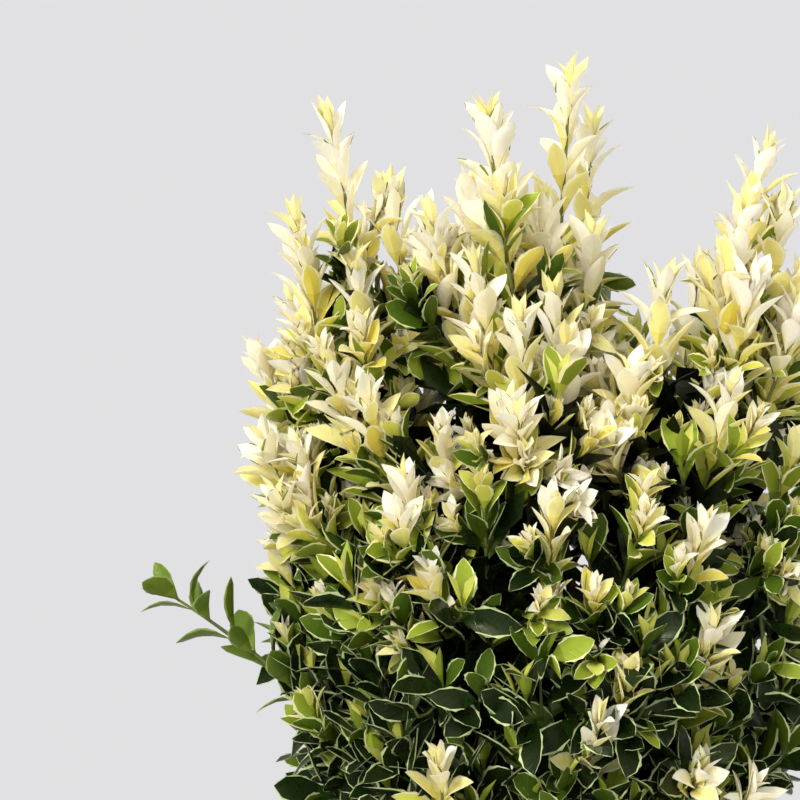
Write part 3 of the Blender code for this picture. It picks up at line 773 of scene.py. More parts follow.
def side_shoot(stem, share, end, steps):
    """A shoot that leaves the stem at a slant and turns up to its own tip."""
    root, along = point_at(stem, share)
    toward = end - root
    aside = (toward - along * toward.dot(along)).normalized()
    span = toward.length * SIDE_BEND_SHARE
    return bend(root, (along + aside) * SIDE_SLANT * span, lean_of(end) * span, end, steps)


# %% [markdown]
# Next comes the growing itself. Every shoot keeps its line, its thickness and how far its cream
# growth reaches down from the tip. High shoots have long cream tips, and low ones are green to
# the top or nearly so. The finer twigs grow later from these shoots.

# %% Grow the limbs, the leaders and their side shoots
FINE_STEPS = 24
FILL_SHOOTS = 3
FILL_SPAN = 110.0
TIP_SHORT = 0.008
SPIRE_CREAM = 0.92
CREAM_LOW = 0.315
CREAM_HIGH = 0.54
CREAM_LEAST = 0.008
CREAM_MOST = 0.076
CREAM_VARIES = (0.85, 1.15)
SIDE_SWAY = 16.0

# How far side shoots and the ones that fill a mass fan out, drop, and stand along the stem
SIDE_SPREAD = ((0.85, 1.15), (0.45, 1.35), (0.08, 0.34))
FILL_SPREAD = ((0.5, 1.3), (0.7, 1.9), (0.0, 0.30))
SPIRE_SHARES = (0.06, 0.40)

Shoot = namedtuple("Shoot", "mass line thick cream fresh rank")


def cream_reach(tip, luck):
    """How far down from its tip a shoot's growth is cream."""
    high = min(1.0, max(0.0, (tip.z - CREAM_LOW) / (CREAM_HIGH - CREAM_LOW)))
    return (CREAM_LEAST + (CREAM_MOST - CREAM_LEAST) * high) * luck.uniform(*CREAM_VARIES)


def fan_end(tip, turn, habit, luck, spread):
    """A side shoot's end, fanned out from the leader's tip and dropped below it, its share along
    the stem, and None for its cream growth's reach, which is drawn later."""
    fans, drops, shares = spread
    offset = habit["fan"] * luck.uniform(*fans)
    drop = habit["drop"] * luck.uniform(*drops)
    end = keep_in_crown(tip + Vector((offset * math.cos(turn), offset * math.sin(turn), -drop)))
    return end, luck.uniform(*shares), None


def side_ends(name, habit, tip, fills, luck, own):
    """A mass's side shoots: each one's end, its share along the stem and its cream reach."""
    outward = math.atan2(tip.y, tip.x)
    for index in range(habit["shoots"]):
        place = (index + 0.5) / habit["shoots"] - 0.5
        turn = outward + math.radians(habit["span"] * place + luck.uniform(-SIDE_SWAY, SIDE_SWAY))
        yield fan_end(tip, turn, habit, luck, SIDE_SPREAD)
    for _ in range(fills):
        turn = outward + math.radians(own.uniform(-FILL_SPAN, FILL_SPAN))
        yield fan_end(tip, turn, habit, own, FILL_SPREAD)
    for end, cream in SPIRES.get(name, ()):
        yield Vector(end) - UP * TIP_SHORT, own.uniform(*SPIRE_SHARES), cream * SPIRE_CREAM


def grow_plant():
    trunk = trunk_run()
    limbs, drawn, shoots = {"trunk": trunk}, {"trunk": trunk}, []
    for name, (tier, tip, carrier, share) in MASSES.items():
        habit, fresh, tip = TIERS[tier], tier == "sprig", Vector(tip)
        points, radii = limbs[carrier]
        radius = float(np.interp(share, np.linspace(0.0, 1.0, len(radii)), radii))
        heading = SPRIG_HEADING if fresh else lean_of(tip)
        seat, start, line = limb_line(tip, points, radius, share, heading)
        thick = MAIN_BOUGH_RADIUS if tier == "top" else SIDE_BOUGH_RADIUS
        ends_at, enters = thick * BOUGH_TIP_SHARE, habit["enters"]
        bough = [start] + part_of(line, 0.0, enters, BOUGH_STEPS - 1)
        limbs[name] = (bough, tapering(thick, ends_at, BOUGH_STEPS + 1))
        fine = [seat, start] + part_of(line, 0.0, enters, FINE_STEPS)
        drawn[name] = (fine, tapering(thick, ends_at, len(fine)))
        luck, own = random.Random(name), random.Random(f"{name} growth")
        short = 0.0 if fresh else TIP_SHORT
        leader = part_of(line, enters, 1.0 - short / length_of(line), FINE_STEPS)
        shoots.append(Shoot(name, leader, ends_at, cream_reach(tip, own), fresh, "leader"))
        stem = part_of(line, enters, 1.0, STEM_STEPS)
        for end, share, cream in list(side_ends(name, habit, tip, 0 if fresh else FILL_SHOOTS, luck, own)):
            cream = cream_reach(end, own) if cream is None else cream
            side = side_shoot(stem, share, end, FINE_STEPS // 2)
            shoots.append(Shoot(name, side, TWIG_RADIUS, cream, fresh, "side"))
    return drawn, shoots


LIMBS, SHOOTS = grow_plant()
print(len(LIMBS), "limbs and", len(SHOOTS), "shoots")

# %% [markdown]
# Finer twigs grow in the axils of the shoots' older leaves, where a spindle branches: each leaves
# at a slant, turns up, and ends inside the crown's outline. More of them stand on the upper part
# of the boughs. They fill the crown between the spires, and high ones have short cream tips too.

# %% Grow the finer twigs
TWIG_STEP = 0.030
TWIG_STEPS = 6
TWIG_REACH = (0.024, 0.046)
TWIG_SLANT = 48.0
TWIG_SWAY = 12.0
TWIG_TURNS = 0.3
TWIG_SPACES = (0.8, 1.3)
TWIG_OUT = 0.8
TWIG_UP = 0.35
TWIG_BENDS = (0.35, 0.3)
TWIG_LEAST = 0.4
TWIG_THICK = 0.75
TWIG_CHANCE = 0.64
TWIG_CREAM = (0.15, 0.62)
TWIG_FROM = (0.034, 0.82)
TWIGS_TO = 0.96
BOUGH_FROM = 0.004
BARE_BOUGH = 0.30


def across_of(along):
    """Two directions square to a heading and to each other."""
    first = along.cross(Vector((1.0, 0.0, 0.0))).normalized()
    return first, along.cross(first)


def grow_twig(place, along, turn, reach, luck):
    """A short twig that sets off at a slant and turns up, or none if the crown is too near."""
    first, second = across_of(along)
    outward = first * math.cos(turn) + second * math.sin(turn)
    slant = math.radians(TWIG_SLANT + luck.uniform(-TWIG_SWAY, TWIG_SWAY))
    sets_off = along * math.cos(slant) + outward * math.sin(slant)
    end = keep_in_crown(place + (sets_off * TWIG_OUT + UP * TWIG_UP) * reach)
    if (end - place).length < TWIG_LEAST * reach:
        return None
    leaves, arrives = TWIG_BENDS
    return bend(place, sets_off * reach * leaves, lean_of(end) * reach * arrives, end, TWIG_STEPS)


def twigs_on(line, name, first, last, luck):
    """Twigs from both sides of a line, between two distances from its tip."""
    found = []
    length = length_of(line)
    down = first
    turn = luck.uniform(0.0, math.pi)
    while down < min(last, length * TWIGS_TO):
        place, along = point_at(line, 1.0 - down / length)
        for half_turn in (0.0, math.pi):
            if luck.random() > TWIG_CHANCE:
                continue
            reach = luck.uniform(*TWIG_REACH)
            faces = turn + half_turn + luck.uniform(-TWIG_TURNS, TWIG_TURNS)
            twig = grow_twig(place, along, faces, reach, luck)
            if twig:
                cream = cream_reach(twig[-1], luck) * luck.uniform(*TWIG_CREAM)
                found.append(Shoot(name, twig, TWIG_RADIUS * TWIG_THICK, cream, False, "twig"))
        turn += math.pi / 2
        down += TWIG_STEP * luck.uniform(*TWIG_SPACES)
    return found


def grow_twigs():
    found = []
    for number, shoot in enumerate(SHOOTS):
        if not shoot.fresh:
            luck = random.Random(f"{shoot.mass} twigs {number}")
            first = max(TWIG_FROM[0], shoot.cream * TWIG_FROM[1])
            found += twigs_on(shoot.line, shoot.mass, first, 1.0, luck)
    for name, (line, _) in LIMBS.items():
        if name != "trunk":
            luck = random.Random(f"{name} bough twigs")
            found += twigs_on(line, name, BOUGH_FROM, length_of(line) * (1.0 - BARE_BOUGH), luck)
    return found


TWIGS = grow_twigs()
print(len(TWIGS), "twigs, on shoots and boughs")

# %% [markdown]
# ## Deal out the leaves
#
# Spindle leaves stand in pairs, each pair a quarter turn from the one below. At the tip they are
# small, upright and close together. Further down they are longer, stand further apart and lean
# out. A leaf's age is its distance from the tip against the reach of the cream growth, and the
# age picks its colour and its shape. Now and then another kind takes its place: a cream leaf with
# a broken green edge, or a green one with a wide cream margin.
# Green leaves deep inside the low crown take the near-black shade colours instead: painted shade.

# %% How leaves change down a shoot, by distance from the tip
DOWN = (0.0, 0.004, 0.012, 0.026, 0.045, 0.080, 0.140)
GROWING = {
    "length": (0.0095, 0.0165, 0.0240, 0.0285, 0.0306, 0.0320, 0.0330),
    "tilt": (6.0, 12.0, 17.0, 20.0, 25.0, 38.0, 56.0),
    "space": (0.0019, 0.0033, 0.0054, 0.0074, 0.0092, 0.0116, 0.0140),
    "recurve": (0.02, 0.06, 0.12, 0.15, 0.17, 0.17, 0.15),
    "roll": 0.40,
}
RESTING = {
    "length": (0.020, 0.0270, 0.0315, 0.0330, 0.0335, 0.0335, 0.0335),
    "tilt": (14.0, 26.0, 36.0, 44.0, 51.0, 58.0, 64.0),
    "space": (0.0046, 0.0086, 0.0124, 0.0142, 0.0150, 0.0155, 0.0160),
    "recurve": (0.04, 0.08, 0.12, 0.14, 0.14, 0.14, 0.12),
    "roll": 0.45,
}
FRESH = {
    "length": (0.018, 0.0260, 0.0315, 0.0335, 0.0340, 0.0340, 0.0340),
    "tilt": (20.0, 34.0, 46.0, 46.0, 46.0, 50.0, 54.0),
    "space": (0.0045, 0.0056, 0.0120, 0.0126, 0.0126, 0.0120, 0.0120),
    "recurve": (0.10, 0.16, 0.20, 0.22, 0.22, 0.20, 0.20),
    "roll": 0.30,
}
FRESH_LIFT = 0.50
RECURVE_POWER = 2.6

# Age up to which a kind is dealt, its shape, and the chance of the kind that takes its place
AGES = (
    (0.14, "butter", "point", "bud", 0.55),
    (0.42, "ivory", "trough", "edged", 0.34),
    (0.74, "cream", "trough", "butter", 0.36),
    (0.98, "butter", "trough", "amber", 0.22),
    (1.08, "amber", "blade", "lemon", 0.60),
    (1.26, "lemon", "blade", "painted", 0.25),
    (1.50, "lime", "blade", "painted", 0.30),
    (2.10, "leaf_green", "broad", "lime", 0.32),
    (99.0, "deep", "open", "leaf_green", 0.14),
)
GREEN_AGES = (
    (0.16, "lemon", "point", "lime", 0.40),
    (0.50, "lime", "blade", "painted", 0.25),
    (1.20, "leaf_green", "broad", "lime", 0.32),
    (99.0, "deep", "broad", "leaf_green", 0.10),
)
AGE_VARIES = (0.82, 1.24)
NO_CREAM = 0.010
ARCHED_CHANCE = 0.12
ARCHED_MORE = 0.30
GREEN_REACH = 0.036
GREEN_LOW = 0.28
GREEN_HIGH = 0.50
GREEN_LEAST = 0.12
# Green leaves within this share of the crown's radius and below this height take the near-black shade
# colours: painted shade.
PAINTED_SHADE_WITHIN = 0.68
PAINTED_SHADE_BELOW = 0.44
HIDDEN_SHARE = 0.78

# Heights on the plant, and how much faster the cream growth greens there
GREENS_AT = (0.40, 0.45, 0.49)
GREENS_BY = (1.20, 1.14, 1.0)


def kind_at(shoot, down, place, ripe, luck):
    """The colour and shape of a leaf at a distance from its shoot's tip."""
    if shoot.fresh:
        return "fresh", "sprig"
    jitter = luck.uniform(*AGE_VARIES)
    if shoot.cream > NO_CREAM:
        sooner = float(np.interp(place.z, GREENS_AT, GREENS_BY))
        age, ages = down / shoot.cream * jitter * sooner + ripe, AGES
    else:
        high = min(1.0, max(GREEN_LEAST, (place.z - GREEN_LOW) / (GREEN_HIGH - GREEN_LOW)))
        age, ages = down / (GREEN_REACH * high) * jitter, GREEN_AGES
    _, kind, form, other, chance = next(row for row in ages if age <= row[0])
    if luck.random() < chance:
        kind = other
        form = other if other in LEAF_SHAPES else form
    outer = math.hypot(place.x, place.y) / crown_radius(place.z)
    # Green leaves inside the low crown are given the near-black shade colours: painted shade.
    if kind in ("deep", "leaf_green", "lime") and outer < PAINTED_SHADE_WITHIN and place.z < PAINTED_SHADE_BELOW:
        return "shade", "inner"
    if kind == "deep" and outer < HIDDEN_SHARE:
        return "deep", "inner"
    return kind, form


def leaf_frame(along, turn, tilt, roll, lift):
    """Sets a leaf on a shoot: X along the leaf, raised by lift, and Z out of its upper face."""
    first, second = across_of(along)
    outward = first * math.cos(turn) + second * math.sin(turn)
    forward = (along * math.cos(tilt) + outward * math.sin(tilt) + UP * lift).normalized()
    upper = along * math.sin(tilt) - outward * math.cos(tilt)
    upper = (upper - forward * upper.dot(forward)).normalized()
    side = upper.cross(forward)
    rolled = upper * math.cos(roll) + side * math.sin(roll)
    side = rolled.cross(forward)
    return forward, side, rolled, outward


TIP_BARE = 0.005
TWIG_BARE = 0.0006
LEAVES_TO = 0.94
RIPE_CHANCE = 0.26
RIPE_BY = (0.35, 0.80)
RIPE_UNDER = 0.050
WEAK_CREAM = (0.008, 0.050, 0.076)
WEAK_SIZE = (0.74, 1.0, 1.10)
WEAK_SPAN = (0.008, 0.040)
SLIM_TIP = 0.45

# How much each leaf's own measures vary: shares of the rule's value, degrees, radians and bends
VIGOUR = (0.90, 1.10)
SIZE_VARIES = (0.88, 1.12)
TILT_VARIES = 11.0
CURVE_VARIES = (0.0, 2.0)
FACES_VARY = 0.36
WIDTH_VARIES = (0.86, 1.14)
BOW = 0.16
TWIST = 0.7
TURN_VARIES = 0.08
SPACE_VARIES = (0.85, 1.15)
STALK_SUNK = 0.02

Leaf = namedtuple("Leaf", "form root forward side upper size wide curve bow twist")
LEAVES = {kind: [] for kind in LEAF_KINDS}


def by_distance(down, values):
    """A leaf's measure at a distance from the tip."""
    return float(np.interp(down, DOWN, values))


def leaf_out(shoot, number):
    """Pairs of leaves down one shoot, each pair a quarter turn from the one above."""
    luck = random.Random(f"{shoot.mass} leaves {number}")
    length = length_of(shoot.line)
    down = TWIG_BARE if shoot.rank == "twig" else TIP_BARE
    turn = luck.uniform(0.0, math.pi)
    vigour = luck.uniform(*VIGOUR)
    ripe = luck.uniform(*RIPE_BY) if luck.random() < RIPE_CHANCE else 0.0
    ripe = 0.0 if shoot.cream > RIPE_UNDER else ripe
    weak = float(np.interp(shoot.cream, WEAK_CREAM, WEAK_SIZE))
    habit, lift = GROWING if shoot.cream > NO_CREAM else RESTING, 0.0
    if shoot.fresh:
        habit, lift = FRESH, FRESH_LIFT
        turn = 0.0 if shoot.rank == "leader" else turn
    while down < length * LEAVES_TO:
        place, along = point_at(shoot.line, 1.0 - down / length)
        thick = shoot.thick * min(1.0, SLIM_TIP + down / length)
        small = float(np.interp(down, WEAK_SPAN, (weak, 1.0))) if habit is GROWING else 1.0
        for half_turn in (0.0, math.pi):
            kind, form = kind_at(shoot, down, place, ripe, luck)
            size = by_distance(down, habit["length"]) * vigour * small * luck.uniform(*SIZE_VARIES)
            tilt = by_distance(down, habit["tilt"]) + luck.uniform(-TILT_VARIES, TILT_VARIES)
            curve = by_distance(down, habit["recurve"]) * luck.uniform(*CURVE_VARIES)
            if luck.random() < ARCHED_CHANCE:
                curve += ARCHED_MORE
            roll = habit["roll"] * luck.uniform(-1.0, 1.0)
            faces = turn + half_turn + luck.uniform(-FACES_VARY, FACES_VARY)
            forward, side, upper, outward = leaf_frame(along, faces, math.radians(tilt), roll, lift)
            root = place + outward * thick * 0.5 - forward * size * STALK_SUNK
            wide = luck.uniform(*WIDTH_VARIES)
            bow, twist = luck.uniform(-BOW, BOW), luck.uniform(-TWIST, TWIST)
            LEAVES[kind].append(Leaf(form, root, forward, side, upper, size, wide, curve, bow, twist))
        turn += math.pi / 2 + luck.uniform(-TURN_VARIES, TURN_VARIES)
        down += by_distance(down, habit["space"]) * small * luck.uniform(*SPACE_VARIES)


for number, shoot in enumerate(SHOOTS + TWIGS):
    leaf_out(shoot, number)
print("leaves dealt:", {kind: len(rows) for kind, rows in LEAVES.items()})
print("leaves in all:", sum(len(rows) for rows in LEAVES.values()))


# %% [markdown]
# ## Join the leaves of each kind
#
# Thousands of separate leaf objects would be slow to handle, so each kind of leaf becomes one
# mesh. Arrays bend every copy by its own amount and set it on its own shoot. A leaf that would
# reach into the pot, or out of the plant's own box, is left off.

# %% Bend and place all the leaves of one shape at once
BOX_SPARE = 0.006
POT_SPARE = 0.001
CURVE_SHORTENS = 0.35


def inside_reach(places):
    """True for each leaf whose points are all in the plant's box and clear of the pot."""
    low = np.array(CAD_BOX[0]) - BOX_SPARE
    high = np.array(CAD_BOX[1]) + BOX_SPARE
    in_box = ((places > low) & (places < high)).all(axis=(1, 2))
    over = places[:, :, 2] > POT_HEIGHT + POT_SPARE
    beside = np.hypot(places[:, :, 0], places[:, :, 1]) > POT_RIM_RADIUS + POT_SPARE
    return in_box & (over | beside).all(axis=1)


def set_leaves(master, rows):
    """Every leaf of one shape as an array of points, bent and in its place."""
    flat = master["places"]
    x = flat[:, 0][None, :]
    leaves = Leaf(*zip(*rows))
    bends = (leaves.size, leaves.wide, leaves.curve, leaves.bow, leaves.twist)
    size, wide, curve, bow, twist = (np.array(values)[:, None] for values in bends)
    width = flat[:, 1][None, :] * wide
    height = flat[:, 2][None, :] - curve * x**RECURVE_POWER + twist * width * x
    width = width + bow * x**2
    along = x * (1.0 - CURVE_SHORTENS * curve * x)
    frames = (leaves.root, leaves.forward, leaves.side, leaves.upper)
    root, forward, side, upper = (np.array(values)[:, None, :] for values in frames)
    local = along[:, :, None] * forward + width[:, :, None] * side + height[:, :, None] * upper
    return root + local * size[:, :, None]


def finish_piece(name, mesh, finishes, crease):
    """Gives a mesh its finishes, smooths it between its creases and puts it in the scene."""
    for finish in finishes:
        mesh.materials.append(finish)
    mesh.shade_smooth()
    mesh.set_sharp_from_angle(angle=math.radians(crease))
    return put_in_scene(name, mesh)


def join_copies(name, copies, finishes, crease):
    """One mesh of many copies. Each entry holds a master's arrays and its copies' points."""
    joined = {"places": [], "corners": [], "counts": [], "slots": [], "map": []}
    offset = 0
    for master, points in copies:
        number, size, _ = points.shape
        starts = offset + np.arange(number)[:, None] * size
        joined["places"].append(points.reshape(-1, 3))
        joined["corners"].append((master["corners"] + starts).ravel())
        joined["map"].append(np.tile(master["map"], (number, 1)))
        for key in ("counts", "slots"):
            joined[key].append(np.tile(master[key], number))
        offset += number * size
    joined = {key: np.concatenate(rows) for key, rows in joined.items()}
    counts = joined["counts"]
    mesh = bpy.data.meshes.new(name)
    mesh.vertices.add(offset)
    mesh.vertices.foreach_set("co", joined["places"].astype(np.float32).ravel())
    mesh.loops.add(len(joined["corners"]))
    mesh.loops.foreach_set("vertex_index", joined["corners"].astype(np.int32))
    mesh.polygons.add(len(counts))
    mesh.polygons.foreach_set("loop_start", (np.cumsum(counts) - counts).astype(np.int32))
    mesh.polygons.foreach_set("material_index", joined["slots"].astype(np.int32))
    mesh.update(calc_edges=True)
    mesh.uv_layers.new(name="leaf").data.foreach_set("uv", joined["map"].astype(np.float32).ravel())
    return finish_piece(name, mesh, finishes, crease)


# %% Join each kind, in pieces small enough to export whole
MOST_LEAVES = 1300
LEAF_CREASE = 38.0

for kind, rows in LEAVES.items():
    copies = []
    for form, master in LEAF_MASTERS.items():
        chosen = [row for row in rows if row.form == form]
        if chosen:
            points = set_leaves(master, chosen)
            copies.append((master, points[inside_reach(points)]))
    parts = max(1, math.ceil(sum(len(points) for _, points in copies) / MOST_LEAVES))
    for part in range(parts):
        share = [(master, points[part::parts]) for master, points in copies if len(points[part::parts])]
        if share:
            name = f"leaves_{kind}" + (f"_{part + 1}" if parts > 1 else "")
            piece = join_copies(name, share, LEAF_FINISHES[kind], LEAF_CREASE)
            keep_piece(piece, MASS_NODES)

# %% [markdown]
# ## Stems, twigs and bark
#
# Young shoots are green and smooth, the twigs below them brown, and the boughs and trunk have grey
# brown bark that has split lengthwise in shallow ridges. All are tubes round the lines that the
# rule has grown. The relief is real: each ring's points stand in or out by a ridged noise that is
# stretched along the limb.

# %% A tube with relief round a line, as arrays
RIDGES_ALONG = 60.0
RIDGE_DEPTH = 2.4
RIDGE_GRIT = 0.5
GRIT_FINER = 3.1
TUBE_CREASE = 60.0


def ridge_depth(turn, along, relief, ridge_scale):
    """How far a point of the bark stands in or out, as a share of the limb's radius."""
    spot = Vector((math.cos(turn) * ridge_scale, math.sin(turn) * ridge_scale, along))
    ridges = relief * (1.0 - RIDGE_DEPTH * abs(noise.noise(spot)))
    return ridges + relief * RIDGE_GRIT * noise.noise(spot * GRIT_FINER)


def tube_arrays(line, radii, sides, relief=0.0, ridge_scale=3.0, seed=0.0):
    """Rings of points round a line, closed by a point at each end."""
    places, faces = [], []
    last = len(line) - 1
    first, _ = across_of((line[1] - line[0]).normalized())
    for index, (centre, radius) in enumerate(zip(line, radii)):
        heading = (line[min(index + 1, last)] - line[max(index - 1, 0)]).normalized()
        first = (first - heading * first.dot(heading)).normalized()
        second = heading.cross(first)
        along = centre.length * RIDGES_ALONG + seed
        for turn in (math.tau * side / sides for side in range(sides)):
            out = first * math.cos(turn) + second * math.sin(turn)
            depth = ridge_depth(turn, along, relief, ridge_scale) if relief else 0.0
            places.append(centre + out * radius * (1.0 + depth))
    for ring in range(0, last * sides, sides):
        for side in range(sides):
            a, b = ring + side, ring + (side + 1) % sides
            faces.append((a, b, b + sides, a + sides))
    low, high, top = len(places), len(places) + 1, last * sides
    places += [line[0], line[-1]]
    for side in range(sides):
        after = (side + 1) % sides
        faces += [(low, after, side), (high, top + side, top + after)]
    return places, faces


def join_tubes(name, tubes, finish):
    """One mesh of many tubes."""
    places, faces = [], []
    for tube_places, tube_faces in tubes:
        faces += [tuple(corner + len(places) for corner in face) for face in tube_faces]
        places += tube_places
    mesh = bpy.data.meshes.new(name)
    mesh.from_pydata(places, [], faces)
    return finish_piece(name, mesh, [finish], TUBE_CREASE)


# %% Finishes for bark and stems
BARK = (110, 92, 70)
BARK_TONES = (linear(62, 50, 38), linear(142, 124, 98))
BARK_STRETCH = (1.0, 1.0, 0.28)


def build_bark_finish():
    finish, tree, shader = plain_finish("bark", BARK)
    stretch = add_node(tree, "ShaderNodeMapping", {"Vector": object_place(tree), "Scale": BARK_STRETCH})
    ridges = place_group(tree, PATCHES, Place=stretch.outputs["Vector"], Scale=150.0, Sharpness=0.5)
    grit = place_group(tree, GRAIN, Scale=1400.0, Smooth=0.75, Rough=0.95)
    colour = mix_colours(tree, ridges["Mask"], *BARK_TONES)
    height = add_share(tree, ridges["Height"], grit["Height"], 0.3)
    cover(tree, shader, grit["Roughness"], height, 0.0006, colour)
    return finish


def build_stem_finish(name, colour, smooth, rough):
    finish, tree, shader = plain_finish(name, colour)
    grit = place_group(tree, GRAIN, Scale=700.0, Smooth=smooth, Rough=rough)
    cover(tree, shader, grit["Roughness"], grit["Height"], 0.00015)
    return finish


STEM_FINISHES = {
    # The young stem's dark olive is partly its own colour and partly painted shade, the dark lines between
    # the spires' leaves.
    "stems_young": build_stem_finish("young stem", (108, 112, 46), 0.40, 0.60),
    "stems_green": build_stem_finish("green stem", (80, 96, 42), 0.45, 0.65),
    "stems_brown": build_stem_finish("brown twig", (92, 74, 52), 0.70, 0.90),
}

# %% Bark on the trunk and the boughs
BARK_RELIEF = 0.10
TRUNK_BARK = (44, 40, BARK_RELIEF, 3.4)
BOUGH_BARK = (60, 12, BARK_RELIEF * 0.8, 2.0)


def smooth_run(line, radii, steps):
    """The same line and radii in more, even steps."""
    shares = np.linspace(0.0, 1.0, steps + 1)
    points = [point_at(line, float(share))[0] for share in shares]
    return points, [float(r) for r in np.interp(shares, np.linspace(0.0, 1.0, len(radii)), radii)]


bark_tubes = []
for seed, (name, run) in enumerate(LIMBS.items()):
    steps, sides, relief, ridge_scale = TRUNK_BARK if name == "trunk" else BOUGH_BARK
    bark_tubes.append(tube_arrays(*smooth_run(*run, steps), sides, relief, ridge_scale, seed))
keep_piece(join_tubes("bark", bark_tubes, build_bark_finish()), ["trunk"] + BOUGH_NODES)

# %% Green and brown stems
GREEN_DOWN = 0.075
STEM_STEP = 0.009
STEM_TIP_SHARE = 0.7
STEM_SIDES = {"leader": 7, "side": 6, "twig": 5}


def stem_tubes():
    """Each shoot's line in three lengths: cream growth, green growth and brown wood."""
    young, green, brown = [], [], []
    for shoot in SHOOTS + TWIGS:
        length = length_of(shoot.line)
        steps = max(4, round(length / STEM_STEP))
        points = part_of(shoot.line, 0.0, 1.0, steps)
        radii = tapering(shoot.thick, STEM_TIP_RADIUS * STEM_TIP_SHARE, len(points))
        cream_from, green_from = (
            max(0, steps - round(min(reach, length) / length * steps))
            for reach in (shoot.cream, shoot.cream + GREEN_DOWN)
        )
        cuts = ((brown, 0, green_from), (green, green_from, cream_from), (young, cream_from, steps))
        for group, first, last in cuts:
            if last > first:
                part = slice(first, last + 1)
                group.append(tube_arrays(points[part], radii[part], STEM_SIDES[shoot.rank]))
    return young, green, brown


for (name, finish), tubes in zip(STEM_FINISHES.items(), stem_tubes()):
    keep_piece(join_tubes(name, tubes, finish), MASS_NODES)

# %% [markdown]
# ## The pot
#
# The pot is out of the picture, so it is a plain one of fired clay: a tapering wall, a deeper band
# at the rim and four holes in its foot. A potter would turn it, and we raise it the same way: the
# round foot is extruded ring by ring up the outside, over the lip and down the inside. Each ring
# stands a hair in or out, as the turning left it.

# %% The pot's outline
POT_FOOT_RADIUS = 0.070
POT_WALL = 0.007
POT_FLOOR = 0.010
RIM_BAND_HEIGHT = 0.034
RIM_BAND_STEP = 0.005
EDGE_EASE = 0.002
DRAIN_HOLE_RADIUS = 0.006
DRAIN_HOLE_CIRCLE = 0.040
DRAIN_HOLES = 4
DRAIN_HOLE_SIDES = 32
POT_SIDES = 112
TURNING = 0.00022
RING_STEP = 0.004
LIP_TURNS = range(0, 181, 30)
POT_CREASE = 34.0


def outer_radius(height):
    share = height / (POT_HEIGHT - RIM_BAND_HEIGHT)
    return POT_FOOT_RADIUS + share * (POT_RIM_RADIUS - RIM_BAND_STEP - POT_FOOT_RADIUS)


def inner_radius(height):
    foot = POT_FOOT_RADIUS - POT_WALL
    share = (height - POT_FLOOR) / (POT_HEIGHT - POT_FLOOR)
    return foot + share * (POT_RIM_RADIUS - POT_WALL - foot)


def pot_outline():
    """(radius, height) pairs from the edge of the foot, up, over the lip and down inside."""
    luck = random.Random("turning")
    band = POT_HEIGHT - RIM_BAND_HEIGHT
    rows = [(POT_FOOT_RADIUS - EDGE_EASE * 0.3, EDGE_EASE * 0.3), (POT_FOOT_RADIUS, EDGE_EASE)]
    height = EDGE_EASE + RING_STEP
    while height < band - EDGE_EASE:
        rows.append((outer_radius(height) + luck.uniform(-TURNING, TURNING), height))
        height += RING_STEP
    rows += [
        (outer_radius(band), band - EDGE_EASE * 0.6),
        (POT_RIM_RADIUS - EDGE_EASE * 1.4, band - EDGE_EASE * 0.1),
        (POT_RIM_RADIUS - EDGE_EASE * 0.6, band + EDGE_EASE * 0.4),
        (POT_RIM_RADIUS - EDGE_EASE * 0.4, band + EDGE_EASE * 1.2),
    ]
    height = band + RING_STEP
    while height < POT_HEIGHT - EDGE_EASE * 1.5:
        rows.append((POT_RIM_RADIUS - EDGE_EASE * 0.25 + luck.uniform(-TURNING, TURNING) * 0.6, height))
        height += RING_STEP
    for turn in LIP_TURNS:
        angle = math.radians(turn)
        half = (POT_WALL - EDGE_EASE * 0.3) / 2
        middle = POT_RIM_RADIUS - EDGE_EASE * 0.15 - half
        rows.append((middle + half * math.cos(angle), POT_HEIGHT - EDGE_EASE + EDGE_EASE * math.sin(angle)))
    height = POT_HEIGHT - EDGE_EASE - RING_STEP
    while height > POT_FLOOR + EDGE_EASE:
        rows.append((inner_radius(height), height))
        height -= RING_STEP * 2
    rows.append((inner_radius(POT_FLOOR) - EDGE_EASE, POT_FLOOR))
    return rows


# %% Raise the pot ring by ring
def extrude_ring(rise, scale, height):
    """Extrudes the selected ring, lifts it and resizes it about the middle line."""
    bpy.ops.mesh.extrude_edges_move(TRANSFORM_OT_translate={"value": (0.0, 0.0, rise)})
    bpy.ops.transform.resize(value=(scale, scale, 1.0), center_override=(0.0, 0.0, height))


def close_piece():
    """Fills the last ring, turns every face outwards and leaves edit mode."""
    bpy.ops.mesh.edge_face_add()
    bpy.ops.mesh.select_all(action="SELECT")
    bpy.ops.mesh.normals_make_consistent(inside=False)
    bpy.ops.object.mode_set(mode="OBJECT")


def model_pot():
    start_piece()
    radius_from, height_from = POT_FOOT_RADIUS - EDGE_EASE, 0.0
    bpy.ops.mesh.primitive_circle_add(vertices=POT_SIDES, radius=radius_from, fill_type="NGON")
    pot = edit_new("clay_pot")
    select_edges(lambda a, b: True)
    for radius, height in pot_outline():
        extrude_ring(height - height_from, radius / radius_from, height)
        radius_from, height_from = radius, height
    close_piece()
    return pot


